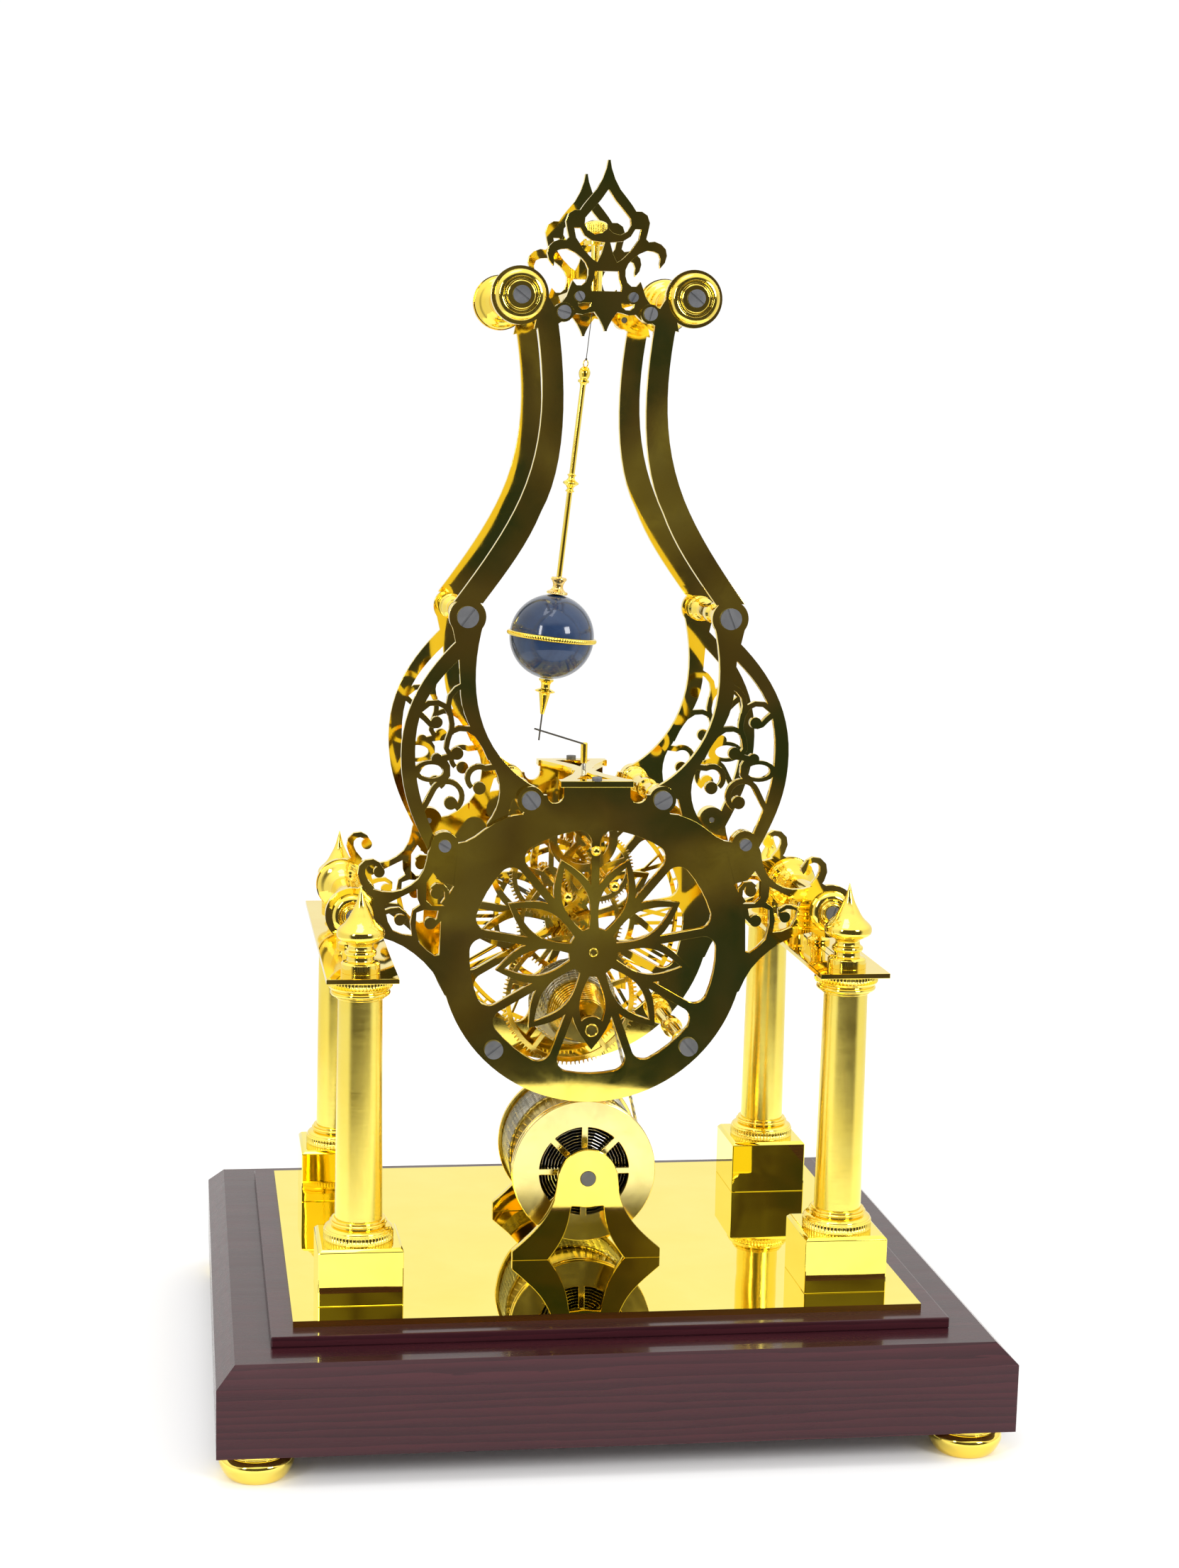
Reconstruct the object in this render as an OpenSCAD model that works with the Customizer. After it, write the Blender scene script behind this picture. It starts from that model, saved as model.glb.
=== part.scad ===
// Skeleton clock with a conical pendulum: pierced brass frames on four columns over a wooden base.
// Axes: X to the right, -Y is the back (pierced movement plate), +Y is the dial side, Z up.
// The origin is on the floor under the middle of the base. Millimetres.

/* [Base] */
// width of the wooden base
base_w = 300; // [200:1:400]
// depth of the wooden base
base_d = 256; // [160:1:340]
// height of the turned feet
foot_h = 12; // [8:0.5:25]
// diameter of the feet
foot_dia = 28; // [16:1:40]
// height of the wooden base with its chamfer
base_h = 33.3; // [20:0.1:60]
// width of the top chamfer on the wooden base
base_bevel = 6.9; // [2:0.1:14]
// width of the upper wooden step
step_w = 259; // [160:1:360]
// depth of the upper wooden step
step_d = 211; // [120:1:300]
// height of the upper wooden step
step_h = 4.2; // [2:0.1:12]
// width of the brass base plate
sole_w = 242; // [150:1:340]
// depth of the brass base plate
sole_d = 192; // [100:1:280]
// thickness of the brass base plate
sole_t = 2.4; // [1.5:0.1:5]

/* [Columns] */
// column distance from the middle, sideways
col_x = 94.6; // [60:0.1:130]
// column distance from the middle, front to back
col_y = 65.4; // [40:0.1:100]
// side of the square block under each column
block_s = 32.5; // [20:0.5:45]
// height of the square block
block_h = 22.4; // [10:0.1:40]
// height of a column with its base and capital
col_h = 102.3; // [60:0.1:160]
// diameter of the shaft at its foot
shaft_low = 18.4; // [10:0.1:26]
// diameter of the shaft at its head
shaft_top = 17; // [8:0.1:24]
// height of the turned column base and of the capital
ring_h = 8; // [4:0.5:14]
// diameter of the steel tie rod inside a column
rod_dia = 4; // [3:0.1:6]
// width of the flat bar over each pair of columns
bar_w = 27.4; // [16:0.1:40]
// length of the flat bar
bar_l = 158; // [120:1:220]
// thickness of the flat bar
bar_t = 2; // [1.5:0.1:5]
// height of a finial
finial_h = 33; // [20:0.5:60]

/* [Frame] */
// height of the centre arbor above the floor
axis_z = 178.5; // [140:0.5:220]
// half distance over the outer faces of the movement plates
plate_y = 34.5; // [26:0.5:45]
// thickness of every frame plate
plate_t = 3; // [2:0.1:5]
// radius of the round movement plate
disc_r = 61; // [50:0.5:70]
// outer radius of the pierced windows
window_r = 49.5; // [40:0.5:56]
// width of the spokes between the windows
spoke_w = 3.2; // [2:0.1:6]
// radius of the screw clearance holes
screw_hole = 1.7; // [1:0.1:3]

/* [Train] */
// teeth of the great wheel
great_n = 96; // [60:1:120]
// leaves of the centre pinion
centre_pn = 12; // [8:1:16]
// teeth of the centre wheel
centre_n = 80; // [60:1:100]
// leaves of the third pinion
third_pn = 10; // [8:1:12]
// teeth of the third wheel
third_n = 64; // [50:1:90]
// leaves of the fourth pinion
fourth_pn = 8; // [6:1:12]
// teeth of the fourth wheel
fourth_n = 64; // [50:1:90]
// leaves of the contrate pinion
contra_pn = 8; // [6:1:12]
// teeth of the contrate wheel
contra_n = 75; // [50:1:100]
// leaves of the spindle pinion
spin_pn = 8; // [6:1:12]
// thickness of the train wheels
wheel_t = 1.6; // [1:0.1:3]
// radius of the steel arbors
arbor_r = 1; // [0.7:0.1:2]

/* [Barrel] */
// height of the barrel axis above the floor
barrel_z = 85.5; // [75:0.5:100]
// outer radius of the barrel flanges
barrel_r = 29.4; // [22:0.1:34]
// radius of the drum that carries the chain
drum_r = 26.6; // [20:0.1:30]
// half length of the barrel
barrel_y = 24; // [14:0.5:28]

/* [Pendulum] */
// height of the suspension point above the floor
hang_z = 436; // [410:0.5:450]
// rest angle of the pendulum from the vertical
swing = 6; // [2:0.1:12]
// distance from the suspension point to the ball centre
ball_drop = 136; // [100:0.5:170]
// radius of the ball
ball_r = 17; // [10:0.1:25]
// height of the spindle top above the floor
spindle_top = 258; // [250:0.5:270]

/* [Hidden] */
$fn = 96;
sole_z = foot_h + base_h + step_h;
sole_top = sole_z + sole_t;
block_top = sole_top + block_h;
bar_z = block_top + col_h;
bar_top = bar_z + bar_t;
inner_y = plate_y - plate_t;
lyre_y = inner_y - plate_t;
crest_y = lyre_y - plate_t;
top_h = 66;
bridge_z = axis_z + top_h;
spool_lo = [95.6, 15.8];
spool_hi = [33.6, 254.5];
waist = [51.8, 132.2];
ear = [26.2, 61];
lug = [59.9, 43.1];
low = [39.3, -38.9];
crest_lug = [16.7, 248.5];
hang_lug = [10.4, 254.7];
great_c = [0, -31.7];
third_c = [-10.9, 22.5];
fourth_c = [7.7, 26.6];
contra_c = [0, 40.9];
third_a = atan2(third_c[1], third_c[0]);
fourth_a = atan2(fourth_c[1] - third_c[1], fourth_c[0] - third_c[0]);
contra_a = atan2(contra_c[1] - fourth_c[1], contra_c[0] - fourth_c[0]);
m_great = 2 * 31.7 / (great_n + centre_pn);
m_centre = 2 * norm(third_c) / (centre_n + third_pn);
m_third = 2 * norm(fourth_c - third_c) / (third_n + fourth_pn);
m_fourth = 2 * norm(contra_c - fourth_c) / (fourth_n + contra_pn);
contra_r = 13;
m_contra = 2 * contra_r / contra_n;
great_y = 21.5;
centre_y = 26.8;
third_y = 10;
fourth_y = 5;
dial_y = plate_y + 7;
lean = [0, -swing, 0];

// ---- helpers ----
function arc(c, r, a0, a1, n) = [for (i = [0:n]) let (q = a0 + (a1 - a0) * i / n) c + r * [cos(q), sin(q)]];
function bez(a, b, c, d, n) = [for (i = [0:n]) let (t = i / n, u = 1 - t)
    u * u * u * a + 3 * u * u * t * b + 3 * u * t * t * c + t * t * t * d];
function rev(p) = [for (i = [len(p) - 1:-1:0]) p[i]];
function turn90(v) = [-v[1], v[0]] / norm(v);
function side(p, i) = turn90(p[min(i + 1, len(p) - 1)] - p[max(i - 1, 0)]);

// flat outline between y0 and y1, drawn as seen from the back, heights measured from the centre arbor
module slab(y0, y1) {
    translate([0, y1, axis_z]) rotate([90, 0, 0]) linear_extrude(y1 - y0) children();
}
// round piece along Y between y0 and y1, at a place p on the plates
module rod_y(p, y0, y1, r) {
    translate([p[0], y1, axis_z + p[1]]) rotate([90, 0, 0]) cylinder(r = r, h = y1 - y0);
}
// turned piece along Y: profile points are [radius, distance from y0]
module turned_y(p, y0, pts) {
    translate([p[0], y0, axis_z + p[1]]) rotate([-90, 0, 0]) rotate_extrude() polygon(pts);
}
module both() {
    children();
    mirror([1, 0, 0]) children();
}
module front_back() {
    children();
    mirror([0, 1, 0]) children();
}
module four() {
    for (sx = [-1, 1]) for (sy = [-1, 1]) translate([sx * col_x, sy * col_y, 0]) children();
}
// strip along a path, its width going from w0 to w1
module band(p, w0, w1) {
    n = len(p) - 1;
    polygon(concat([for (i = [0:n]) p[i] + side(p, i) * (w0 + (w1 - w0) * i / n) / 2],
        [for (i = [n:-1:0]) p[i] - side(p, i) * (w0 + (w1 - w0) * i / n) / 2]));
}
// round dot at a place
module dot(p, r) {
    translate(p) circle(r = r, $fn = r > 5 ? 48 : 20);
}
// toothed outline: n teeth, pitch radius r, tooth centres start at angle a
module teeth(n, r, up, dn, tip, foot, a) {
    s = 360 / n;
    polygon([for (i = [0:n - 1]) for (k = [0:3]) let (
        q = a + i * s + (k == 0 ? -foot : k == 1 ? -tip : k == 2 ? tip : foot) * s,
        d = (k == 0 || k == 3) ? r - dn : r + up) d * [cos(q), sin(q)]]);
}
module wheel_outline(n, m, a) {
    teeth(n, m * n / 2, 0.9 * m, 1.5 * m, 0.09, 0.21, a);
}
module pinion_outline(n, m, a) {
    teeth(n, m * n / 2, 0.75 * m, 1.35 * m, 0.07, 0.16, a);
}
// windows between r0 and r1 that leave straight spokes of width w
module crossing(p, y0, y1, r0, r1, n, w, a) {
    for (k = [0:n - 1]) let (h = 180 / n, q = a + (k + 0.5) * 360 / n, f = w / 2 / sin(h) * [cos(q), sin(q)])
        intersection() {
            difference() {
                rod_y(p, y0, y1, r1);
                rod_y(p, y0 - 1, y1 + 1, r0);
            }
            slab(y0, y1) translate(p) polygon([f, f + 70 * [cos(q - h), sin(q - h)],
                f + 70 * [cos(q + h), sin(q + h)]]);
        }
}
// crossed-out wheel of thickness t with a bore
module wheel(p, n, m, y0, t, a, arms, bore) {
    difference() {
        slab(y0, y0 + t) translate(p) wheel_outline(n, m, a);
        crossing(p, y0 - 1, y0 + t + 1, 4.2, m * n / 2 - 1.5 * m - 2, arms, 2, 90);
        rod_y(p, y0 - 1, y0 + t + 1, bore);
    }
}

// ---- outlines of the frame plates (right half, heights from the centre arbor) ----
function leaf(r0, r1, w0, w1, e) = concat(
    [for (i = [0:12]) let (t = i / 12) [r0 + (r1 - r0) * t, w0 * (1 - t) + w1 * sin(180 * pow(t, e))]],
    [for (i = [12:-1:0]) let (t = i / 12) [r0 + (r1 - r0) * t, -w0 * (1 - t) - w1 * sin(180 * pow(t, e))]]);

module petal_frame() {
    polygon(leaf(6, 39.6, 2.5, 7, 1.1));
}
module petal_hole() {
    polygon(leaf(9.8, 36.2, 1.5, 4.5, 1));
}
module rosette_windows() {
    for (k = [0:8]) rotate(270 + 40 * k) {
        difference() {
            offset(r = 5.2, $fn = 40) offset(delta = -5.2) intersection() {
                circle(r = window_r, $fn = 60);
                polygon([[spoke_w / 2 / sin(20), 0], [80, (80 - spoke_w / 2 / sin(20)) * tan(20)],
                    [80, -(80 - spoke_w / 2 / sin(20)) * tan(20)]]);
            }
            circle(r = 20);
            petal_frame();
            rotate(40) petal_frame();
            rotate(-40) petal_frame();
        }
        difference() {
            petal_hole();
            if (k == 0) dot([31.7, 0], 5.6);
        }
    }
}
module side_arm() {
    difference() {
        union() {
            polygon([[50, 44], [60, 43], [65.2, 43], [66.4, 40], [66.9, 37], [67.9, 33.5], [70, 29.9],
                [73, 27.4], [76.5, 25.5], [80, 24.8], [84, 24.9], [87.5, 25.9], [91, 27.8], [97, 24],
                [97, 8], [88, 7.4], [84, 6.6], [80, 5.3], [75.7, 3.2], [71.5, 0.3], [67.5, -3.2],
                [64, -7.2], [61.5, -11.5], [59.3, -16.5], [50, -20]]);
            dot(spool_lo, 10.7);
            dot(lug, 5.4);
            band([[88.5, 25.5], [91.2, 29], [92.3, 32], [92, 34.6], [90.3, 36.4], [87.9, 36.8],
                [85.9, 35.8], [84.7, 34]], 3.4, 1.7);
            dot([85.4, 32.8], 2.2);
        }
        difference() {
            polygon([[61.3, 37.2], [57, 39.4], [48.4, 39.6], [53.2, 31.4], [56.5, 29.9], [60.4, 31.4]]);
            band([[61, 31.2], [58, 29.9], [55, 30.6], [53.8, 32.9], [54.6, 35.2]], 1.8, 1.5);
            dot([56, 35], 1.7);
        }
        difference() {
            polygon([[64.3, 32.4], [66.8, 28.5], [66.8, 21.4], [64.6, 19.2], [60.4, 19.2], [58.8, 22],
                [54.6, 29.4], [58, 27.8], [61.2, 28.6]]);
            band([[60.2, 19.5], [58.6, 22], [58.8, 25], [60.4, 27], [62.9, 27.3], [64.6, 25.9]], 2, 1.6);
            dot([62.8, 24.3], 2.3);
        }
        difference() {
            polygon([[70.6, 16.6], [67.5, 17.7], [60.8, 17.2], [61.4, -0.4], [63.2, -0.8], [66.5, 1.5],
                [69.5, 4.6], [70.9, 10.5]]);
            band([[60.8, 17], [61.6, 13.8], [63.4, 11.8]], 2.2, 1.8);
            dot([65.1, 12.2], 2.4);
        }
        difference() {
            polygon([[83.4, 19.6], [70.4, 26], [70.2, 22], [69.2, 19.6], [72, 17.6], [73, 12.5],
                [72.3, 7.4], [76, 7.8], [79.8, 9.4], [81.8, 13], [82.6, 16.5]]);
            band([[83.4, 16.6], [80.5, 17.6], [77.6, 17.8], [75.2, 16.3], [75.3, 13.8]], 1.8, 1.5);
            dot([77.1, 13.6], 2.2);
        }
    }
}
module movement_outline() {
    offset(delta = -0.3) offset(delta = 0.3) difference() {
        union() {
            circle(r = disc_r);
            both() difference() {
                polygon([[-1, 30], [-1, top_h], [23, top_h], [27, 60], [29.3, 55.4], [33, 54.9],
                    [36, 53.9], [40, 52.1], [44.3, 49.2], [48, 46.4], [51.4, 44.6], [55, 43.9],
                    [60, 43], [63, 30], [40, 20]]);
                dot([16.5, 63], 3.3);
                translate([13.2, 63]) square([30, 10]);
            }
            both() dot(ear, 5.4);
            both() side_arm();
        }
        rosette_windows();
    }
}
module movement_plate() {
    color("gold") difference() {
        slab(-plate_y, -inner_y) movement_outline();
        for (s = [-1, 1]) {
            rod_y([s * ear[0], ear[1]], -plate_y - 1, -inner_y + 1, screw_hole);
            rod_y([s * lug[0], lug[1]], -plate_y - 1, -inner_y + 1, 1.3);
            rod_y([s * low[0], low[1]], -plate_y - 1, -inner_y + 1, screw_hole);
            rod_y([s * spool_lo[0], spool_lo[1]], -plate_y - 1, -inner_y + 1, screw_hole);
        }
        for (c = [[0, 0], third_c, fourth_c, contra_c])
            rod_y(c, -plate_y - 1, -inner_y + 1, arbor_r + 0.05);
        rod_y(great_c, -plate_y - 1, -inner_y + 1, 2.05);
        translate([0, -plate_y + plate_t / 2, bridge_z - 6]) cylinder(r = 1.05, h = 7);
    }
}

module lyre_outline() {
    offset(delta = -0.3) offset(delta = 0.3) {
        dot(spool_hi, 11);
        polygon(concat(bez([19, 246], [14.5, 218], [14.8, 190], [24, 173], 12),
            bez([24, 173], [29, 160.5], [36, 151], [46, 137.5], 8),
            [[55.8, 138]],
            rev(bez([32, 178], [37.5, 165.5], [46, 153], [57.2, 138], 8)),
            rev(bez([27.2, 246], [23, 222], [22.5, 200], [32, 178], 12))));
        polygon([[24, 260], [22.6, 254], [20.4, 250.5], [17, 252], [15, 246.6], [18.9, 244], [28, 242]]);
        dot(crest_lug, 3.7);
        dot(waist, 7.2);
        polygon(concat(bez([45.3, 131], [50.5, 112], [49.5, 92], [38.5, 78], 12),
            bez([38.5, 78], [35, 73.5], [30, 68.5], [23.5, 65.4], 8),
            [[24, 60], [31, 61.5], [33, 60.8], [34.4, 56], [36, 48], [43, 47.6]],
            bez([43, 51], [36.6, 58.5], [36.6, 69], [42.1, 75.6], 8),
            bez([43, 77.5], [49, 87.5], [54.5, 94], [54.2, 106], 8), [[54.9, 116], [57.6, 128]]));
        dot(ear, 5.4);
        polygon(concat(bez([54.4, 124.2], [68, 111.5], [77, 97], [77, 78.5], 12),
            bez([77, 78.5], [77, 64], [73, 54], [65.6, 40], 10), [[58, 42], [60, 47]],
            bez([63.5, 46], [69.5, 60], [71.6, 68], [71.6, 80], 8),
            bez([71.6, 80], [71.7, 96], [66, 105], [54.6, 116], 10), [[52, 122]]));
        dot(lug, 5.4);
        band([[70, 95.8], [66.4, 98.6], [62.9, 98.8], [60, 97.4], [58, 94.4], [57.3, 90.5], [57.6, 86.5]],
            2.2, 2);
        band([[70.6, 95], [67.8, 92.6], [65.8, 90.4], [63.6, 89.6]], 2.4, 1.8);
        dot([63.3, 91.2], 2.3);
        band([[52.6, 106], [55.8, 104.2], [58.1, 101.4], [58.8, 98], [58.2, 94]], 2, 2);
        band([[57.6, 88], [58.8, 84.5], [59.4, 81], [58, 78.6]], 2, 2);
        band([[57, 87.8], [54.5, 88.8], [51, 88.6], [47.5, 86.4], [44.5, 82.4], [41.8, 76.8]], 2, 2.4);
        dot([55.2, 79], 2.5);
        band([[55, 78], [59, 77.4], [63, 76.4]], 2.4, 2.4);
        dot([63, 76.8], 2.2);
        band([[60.6, 77], [58.8, 74], [58.7, 70.5], [60.5, 68]], 2, 2);
        difference() {
            translate([65.1, 72]) scale([1, 0.62]) circle(r = 6.9, $fn = 24);
            translate([65.1, 72]) scale([1, 0.58]) circle(r = 4.7, $fn = 24);
        }
        band(concat([[69.6, 55], [67, 59.5]], arc([59, 62], 6, 25, 235, 14)), 2.2, 2);
        dot([57.4, 59.4], 2.6);
        band(concat([[40.6, 73.6]], arc([46.3, 69.2], 4.6, 120, -50, 12)), 2.2, 2);
        dot([46.2, 65.3], 2.5);
    }
}
module lyre() {
    color("gold") difference() {
        slab(-inner_y, -lyre_y) lyre_outline();
        rod_y(spool_hi, -inner_y - 1, -lyre_y + 1, screw_hole);
        rod_y(waist, -inner_y - 1, -lyre_y + 1, screw_hole);
        rod_y(ear, -inner_y - 1, -lyre_y + 1, screw_hole);
        rod_y(lug, -inner_y - 1, -lyre_y + 1, 1.2);
        rod_y(crest_lug, -inner_y - 1, -lyre_y + 1, 1.3);
    }
}

module crest_half() {
    difference() {
        polygon([[-0.5, 305.6], [0.4, 305.6], [1, 302.5], [2.4, 298.6], [4.5, 294.8], [7.3, 291.5],
            [9.3, 289], [10.8, 286.8], [13, 286.8], [15.2, 285.4], [16.2, 282.6], [15.6, 279.4],
            [14.9, 276.6], [16, 275.5], [18.2, 275.8], [20.8, 274.8], [22.6, 273], [23.1, 270.6],
            [22.4, 268], [20.6, 265.8], [20.4, 267.4], [20.7, 269.2], [19.9, 271.2], [18, 272.1],
            [15.4, 272.3], [12.4, 271], [10, 269.2], [8.2, 267.2], [7.2, 265], [7.2, 262.6], [8, 260.2],
            [9.6, 258.8], [11.6, 258.8], [13.2, 260.6], [14.2, 258], [15.4, 254.6], [17.4, 252],
            [20.3, 249.4], [19.8, 246.4], [17, 244.9], [13.6, 246.3], [11.6, 248.2], [9, 247.9], [6.6, 248.6],
            [4.4, 249], [2.6, 246.6], [1.1, 243.8], [0.3, 241.8], [-0.5, 241.8]]);
        polygon([[-1, 294.6], [0.2, 294.6], [3, 290.6], [6.4, 286.8], [8.8, 284], [9, 281.6],
            [7.6, 279.3], [5, 277.9], [2.2, 278.5], [0, 280.3], [-1, 280.3]]);
        polygon([[1, 275], [6, 275.6], [8.9, 277.4], [10.6, 280.2], [13, 280.2], [12.2, 276.5], [9.2, 272.2],
            [5.8, 268.8], [3.8, 267.6], [2.2, 270.8]]);
        polygon([[-1, 264.3], [4.6, 264.3], [5, 261.4], [6, 258.4], [5.8, 256.7], [-1, 256.7]]);
        polygon([[5.8, 252.4], [11, 252.4], [10.6, 250.8], [9.4, 249.8], [7.6, 249.9], [6.2, 250.9]]);
    }
}
module crest() {
    color("gold") difference() {
        slab(-lyre_y, -crest_y) offset(delta = -0.2) offset(delta = 0.2) both() {
            crest_half();
            dot(crest_lug, 3.7);
            dot(hang_lug, 2.6);
        }
        for (s = [-1, 1]) {
            rod_y([s * crest_lug[0], crest_lug[1]], -lyre_y - 1, -crest_y + 1, 1.2);
            rod_y([s * hang_lug[0], hang_lug[1]], -lyre_y - 1, -crest_y + 1, 1.1);
        }
    }
}

// ---- base and columns ----
module bevel_prism(w, l) {
    rotate([90, 0, 0]) translate([0, 0, -l / 2]) linear_extrude(l)
        polygon([[-w / 2, 0], [w / 2, 0], [w / 2, base_h - base_bevel], [w / 2 - base_bevel, base_h],
            [-w / 2 + base_bevel, base_h], [-w / 2, base_h - base_bevel]]);
}
module rod_holes(z0, z1, r) {
    four() translate([0, 0, z0]) cylinder(r = r, h = z1 - z0);
}
module wood_base() {
    color("saddlebrown") difference() {
        translate([0, 0, foot_h]) intersection() {
            bevel_prism(base_w, base_d);
            rotate([0, 0, 90]) bevel_prism(base_d, base_w);
        }
        rod_holes(foot_h - 1, sole_z + 1, rod_dia / 2 + 0.2);
        rod_holes(foot_h - 1, foot_h + 7, 6);
        for (sx = [-1, 1]) for (sy = [-1, 1]) translate([sx * 135, sy * 113, foot_h - 1])
            cylinder(r = 2.6, h = 12);
    }
}
module wood_step() {
    color("saddlebrown") difference() {
        translate([-step_w / 2, -step_d / 2, foot_h + base_h]) cube([step_w, step_d, step_h]);
        rod_holes(foot_h, sole_top, rod_dia / 2 + 0.2);
    }
}
module base_plate() {
    color("gold") difference() {
        translate([-sole_w / 2, -sole_d / 2, sole_z]) cube([sole_w, sole_d, sole_t]);
        rod_holes(foot_h, sole_top + 1, rod_dia / 2 + 0.2);
    }
}
module feet() {
    r = foot_dia / 2;
    color("gold") for (sx = [-1, 1]) for (sy = [-1, 1]) translate([sx * 135, sy * 113, 0])
        rotate_extrude() polygon([[0, 0], [r - 3.2, 0], [r - 1.2, 1.2], [r - 0.2, 3], [r, 5], [r - 0.6, 7.2],
            [r - 2.4, 8.6], [r - 3, 9.4], [r - 2.4, 10.2], [r - 2.4, foot_h], [2.5, foot_h],
            [2.5, foot_h + 10], [0, foot_h + 10]]);
}
module column_blocks() {
    c = 1.2;
    color("gold") four() difference() {
        translate([0, 0, sole_top]) intersection() {
            translate([-block_s / 2, -block_s / 2, 0]) cube([block_s, block_s, block_h]);
            rotate([90, 0, 0]) translate([0, 0, -30]) linear_extrude(60) polygon([[-block_s / 2, 0],
                [block_s / 2, 0], [block_s / 2, block_h - c], [block_s / 2 - c, block_h],
                [-block_s / 2 + c, block_h], [-block_s / 2, block_h - c]]);
            rotate([90, 0, 90]) translate([0, 0, -30]) linear_extrude(60) polygon([[-block_s / 2, 0],
                [block_s / 2, 0], [block_s / 2, block_h - c], [block_s / 2 - c, block_h],
                [-block_s / 2 + c, block_h], [-block_s / 2, block_h - c]]);
        }
        translate([0, 0, sole_top - 1]) cylinder(r = rod_dia / 2 + 0.2, h = block_h + 2);
    }
}
module column_rings() {
    h = rod_dia / 2 + 0.2;
    color("gold") four() {
        translate([0, 0, block_top]) rotate_extrude() polygon([[h, 0], [13.5, 0], [13.5, 3.6], [12.8, 4.2],
            [12.2, 4.4], [12.4, 5.2], [11.6, 6.2], [10.2, 6.8], [9.8, ring_h], [h, ring_h]]);
        translate([0, 0, bar_z - ring_h]) rotate_extrude() polygon([[h, 0], [9.1, 0], [9.5, 0.9],
            [11.2, 1.6], [11.6, 2.6], [10.8, 3.3], [11.6, 4], [12.3, 4.3], [12.3, 7.2], [11.6, ring_h],
            [h, ring_h]]);
    }
}
module columns() {
    color("gold") four() translate([0, 0, block_top + ring_h]) difference() {
        cylinder(r1 = shaft_low / 2, r2 = shaft_top / 2, h = col_h - 2 * ring_h);
        translate([0, 0, -1]) cylinder(r = rod_dia / 2 + 0.2, h = col_h);
    }
}
module tie_rods() {
    color("dimgray") four() translate([0, 0, foot_h + 1])
        cylinder(r = rod_dia / 2, h = bar_top + 8 - foot_h - 1);
}
module rod_nuts() {
    color("dimgray") four() translate([0, 0, foot_h + 3]) difference() {
        cylinder(r = 4.6, h = 4, $fn = 6);
        translate([0, 0, -1]) cylinder(r = rod_dia / 2 + 0.02, h = 6);
    }
}
module finials() {
    k = finial_h / 33;
    color("gold") four() translate([0, 0, bar_top]) difference() {
        scale(k) rotate_extrude() polygon([[0, 0], [7.5, 0], [7.6, 0.6], [7.5, 3.6], [6.6, 4.2],
            [5.2, 4.6], [5, 6.2], [6, 6.9], [6, 8.2], [5, 8.9], [4.8, 10.4], [5.4, 11.1], [7.4, 12],
            [8.7, 13.2], [9.2, 14.6], [9, 16], [7.9, 17.4], [6.4, 18.8], [5.1, 20.4], [4, 22.4], [2.4, 25.4],
            [1.4, 28.3], [0.6, 31.2], [0, 33]]);
        translate([0, 0, -1]) cylinder(r = rod_dia / 2 + 0.02, h = 9.5);
    }
}
module side_bars() {
    color("gold") difference() {
        both() translate([col_x - bar_w / 2, -bar_l / 2, bar_z]) cube([bar_w, bar_l, bar_t]);
        rod_holes(bar_z - 1, bar_top + 1, rod_dia / 2 + 0.2);
    }
}
module support_posts() {
    h = axis_z + spool_lo[1] - 4.4 - bar_top;
    color("gold") both() front_back() translate([spool_lo[0], -18, bar_top]) rotate_extrude()
        polygon([[0, 0], [4.6, 0], [4.6, 1.4], [3.4, 2.2], [3, 3.4], [3, h - 3], [3.8, h - 2.2],
            [3.8, h - 0.4], [2.2, h - 0.4], [2.2, h + 2.4], [0, h + 2.4]]);
}

// ---- pillars, spools, rosettes and screws ----
module lower_spools() {
    l = inner_y;
    half = [[10, -l], [10.2, -l + 1.2], [9.4, -l + 2.6], [7.2, -l + 3.8], [5.4, -l + 5.6], [5.2, -l + 7],
        [6.4, -l + 7.8], [6.4, -l + 9], [5.2, -l + 9.8], [5, -l + 11]];
    color("gold") both() difference() {
        turned_y(spool_lo, 0, concat([[0, -l]], half, [for (p = rev(half)) [p[0], -p[1]]], [[0, l]]));
        rod_y(spool_lo, -l - 1, -l + 10, 1.55);
        rod_y(spool_lo, l - 10, l + 1, 1.55);
        for (s = [-1, 1]) translate([spool_lo[0], s * 18, bar_top + 5]) cylinder(r = 2.25, h = 9.5);
        for (s = [-1, 1]) translate([spool_lo[0], s * 18, bar_top + 5]) cylinder(r = 4.2, h = 5.92);
    }
}
module top_spools() {
    l = lyre_y;
    half = [[10.2, -l], [10.6, -l + 1.2], [9.8, -l + 3], [7.6, -l + 4.4], [6.2, -l + 6.4], [6, -l + 8.5],
        [7.2, -l + 9.4], [7.2, -l + 10.8], [6, -l + 11.8], [5.6, -l + 14]];
    color("gold") both() difference() {
        turned_y(spool_hi, 0, concat([[0, -l]], half, [for (p = rev(half)) [p[0], -p[1]]], [[0, l]]));
        rod_y(spool_hi, -l - 1, -l + 10, 1.55);
        rod_y(spool_hi, l - 10, l + 1, 1.55);
    }
}
module pillar(p, l) {
    half = [[5.2, -l], [5.2, -l + 2], [4.4, -l + 2.8], [3.4, -l + 3.6], [3.4, -l + 5], [4.6, -l + 6],
        [4.9, -l + 7.2], [4.4, -l + 8.6], [3.2, -l + 10.2], [3, -l + 12], [3.2, -4], [4.2, -2.6], [4.2, -1]];
    difference() {
        turned_y(p, 0, concat([[0, -l]], half, [for (q = rev(half)) [q[0], -q[1]]], [[0, l]]));
        rod_y(p, -l - 1, -l + 9, 1.55);
        rod_y(p, l - 9, l + 1, 1.55);
    }
}
module frame_pillars() {
    color("gold") both() {
        pillar(waist, lyre_y);
        pillar(ear, lyre_y);
        pillar(low, inner_y);
    }
}
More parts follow.
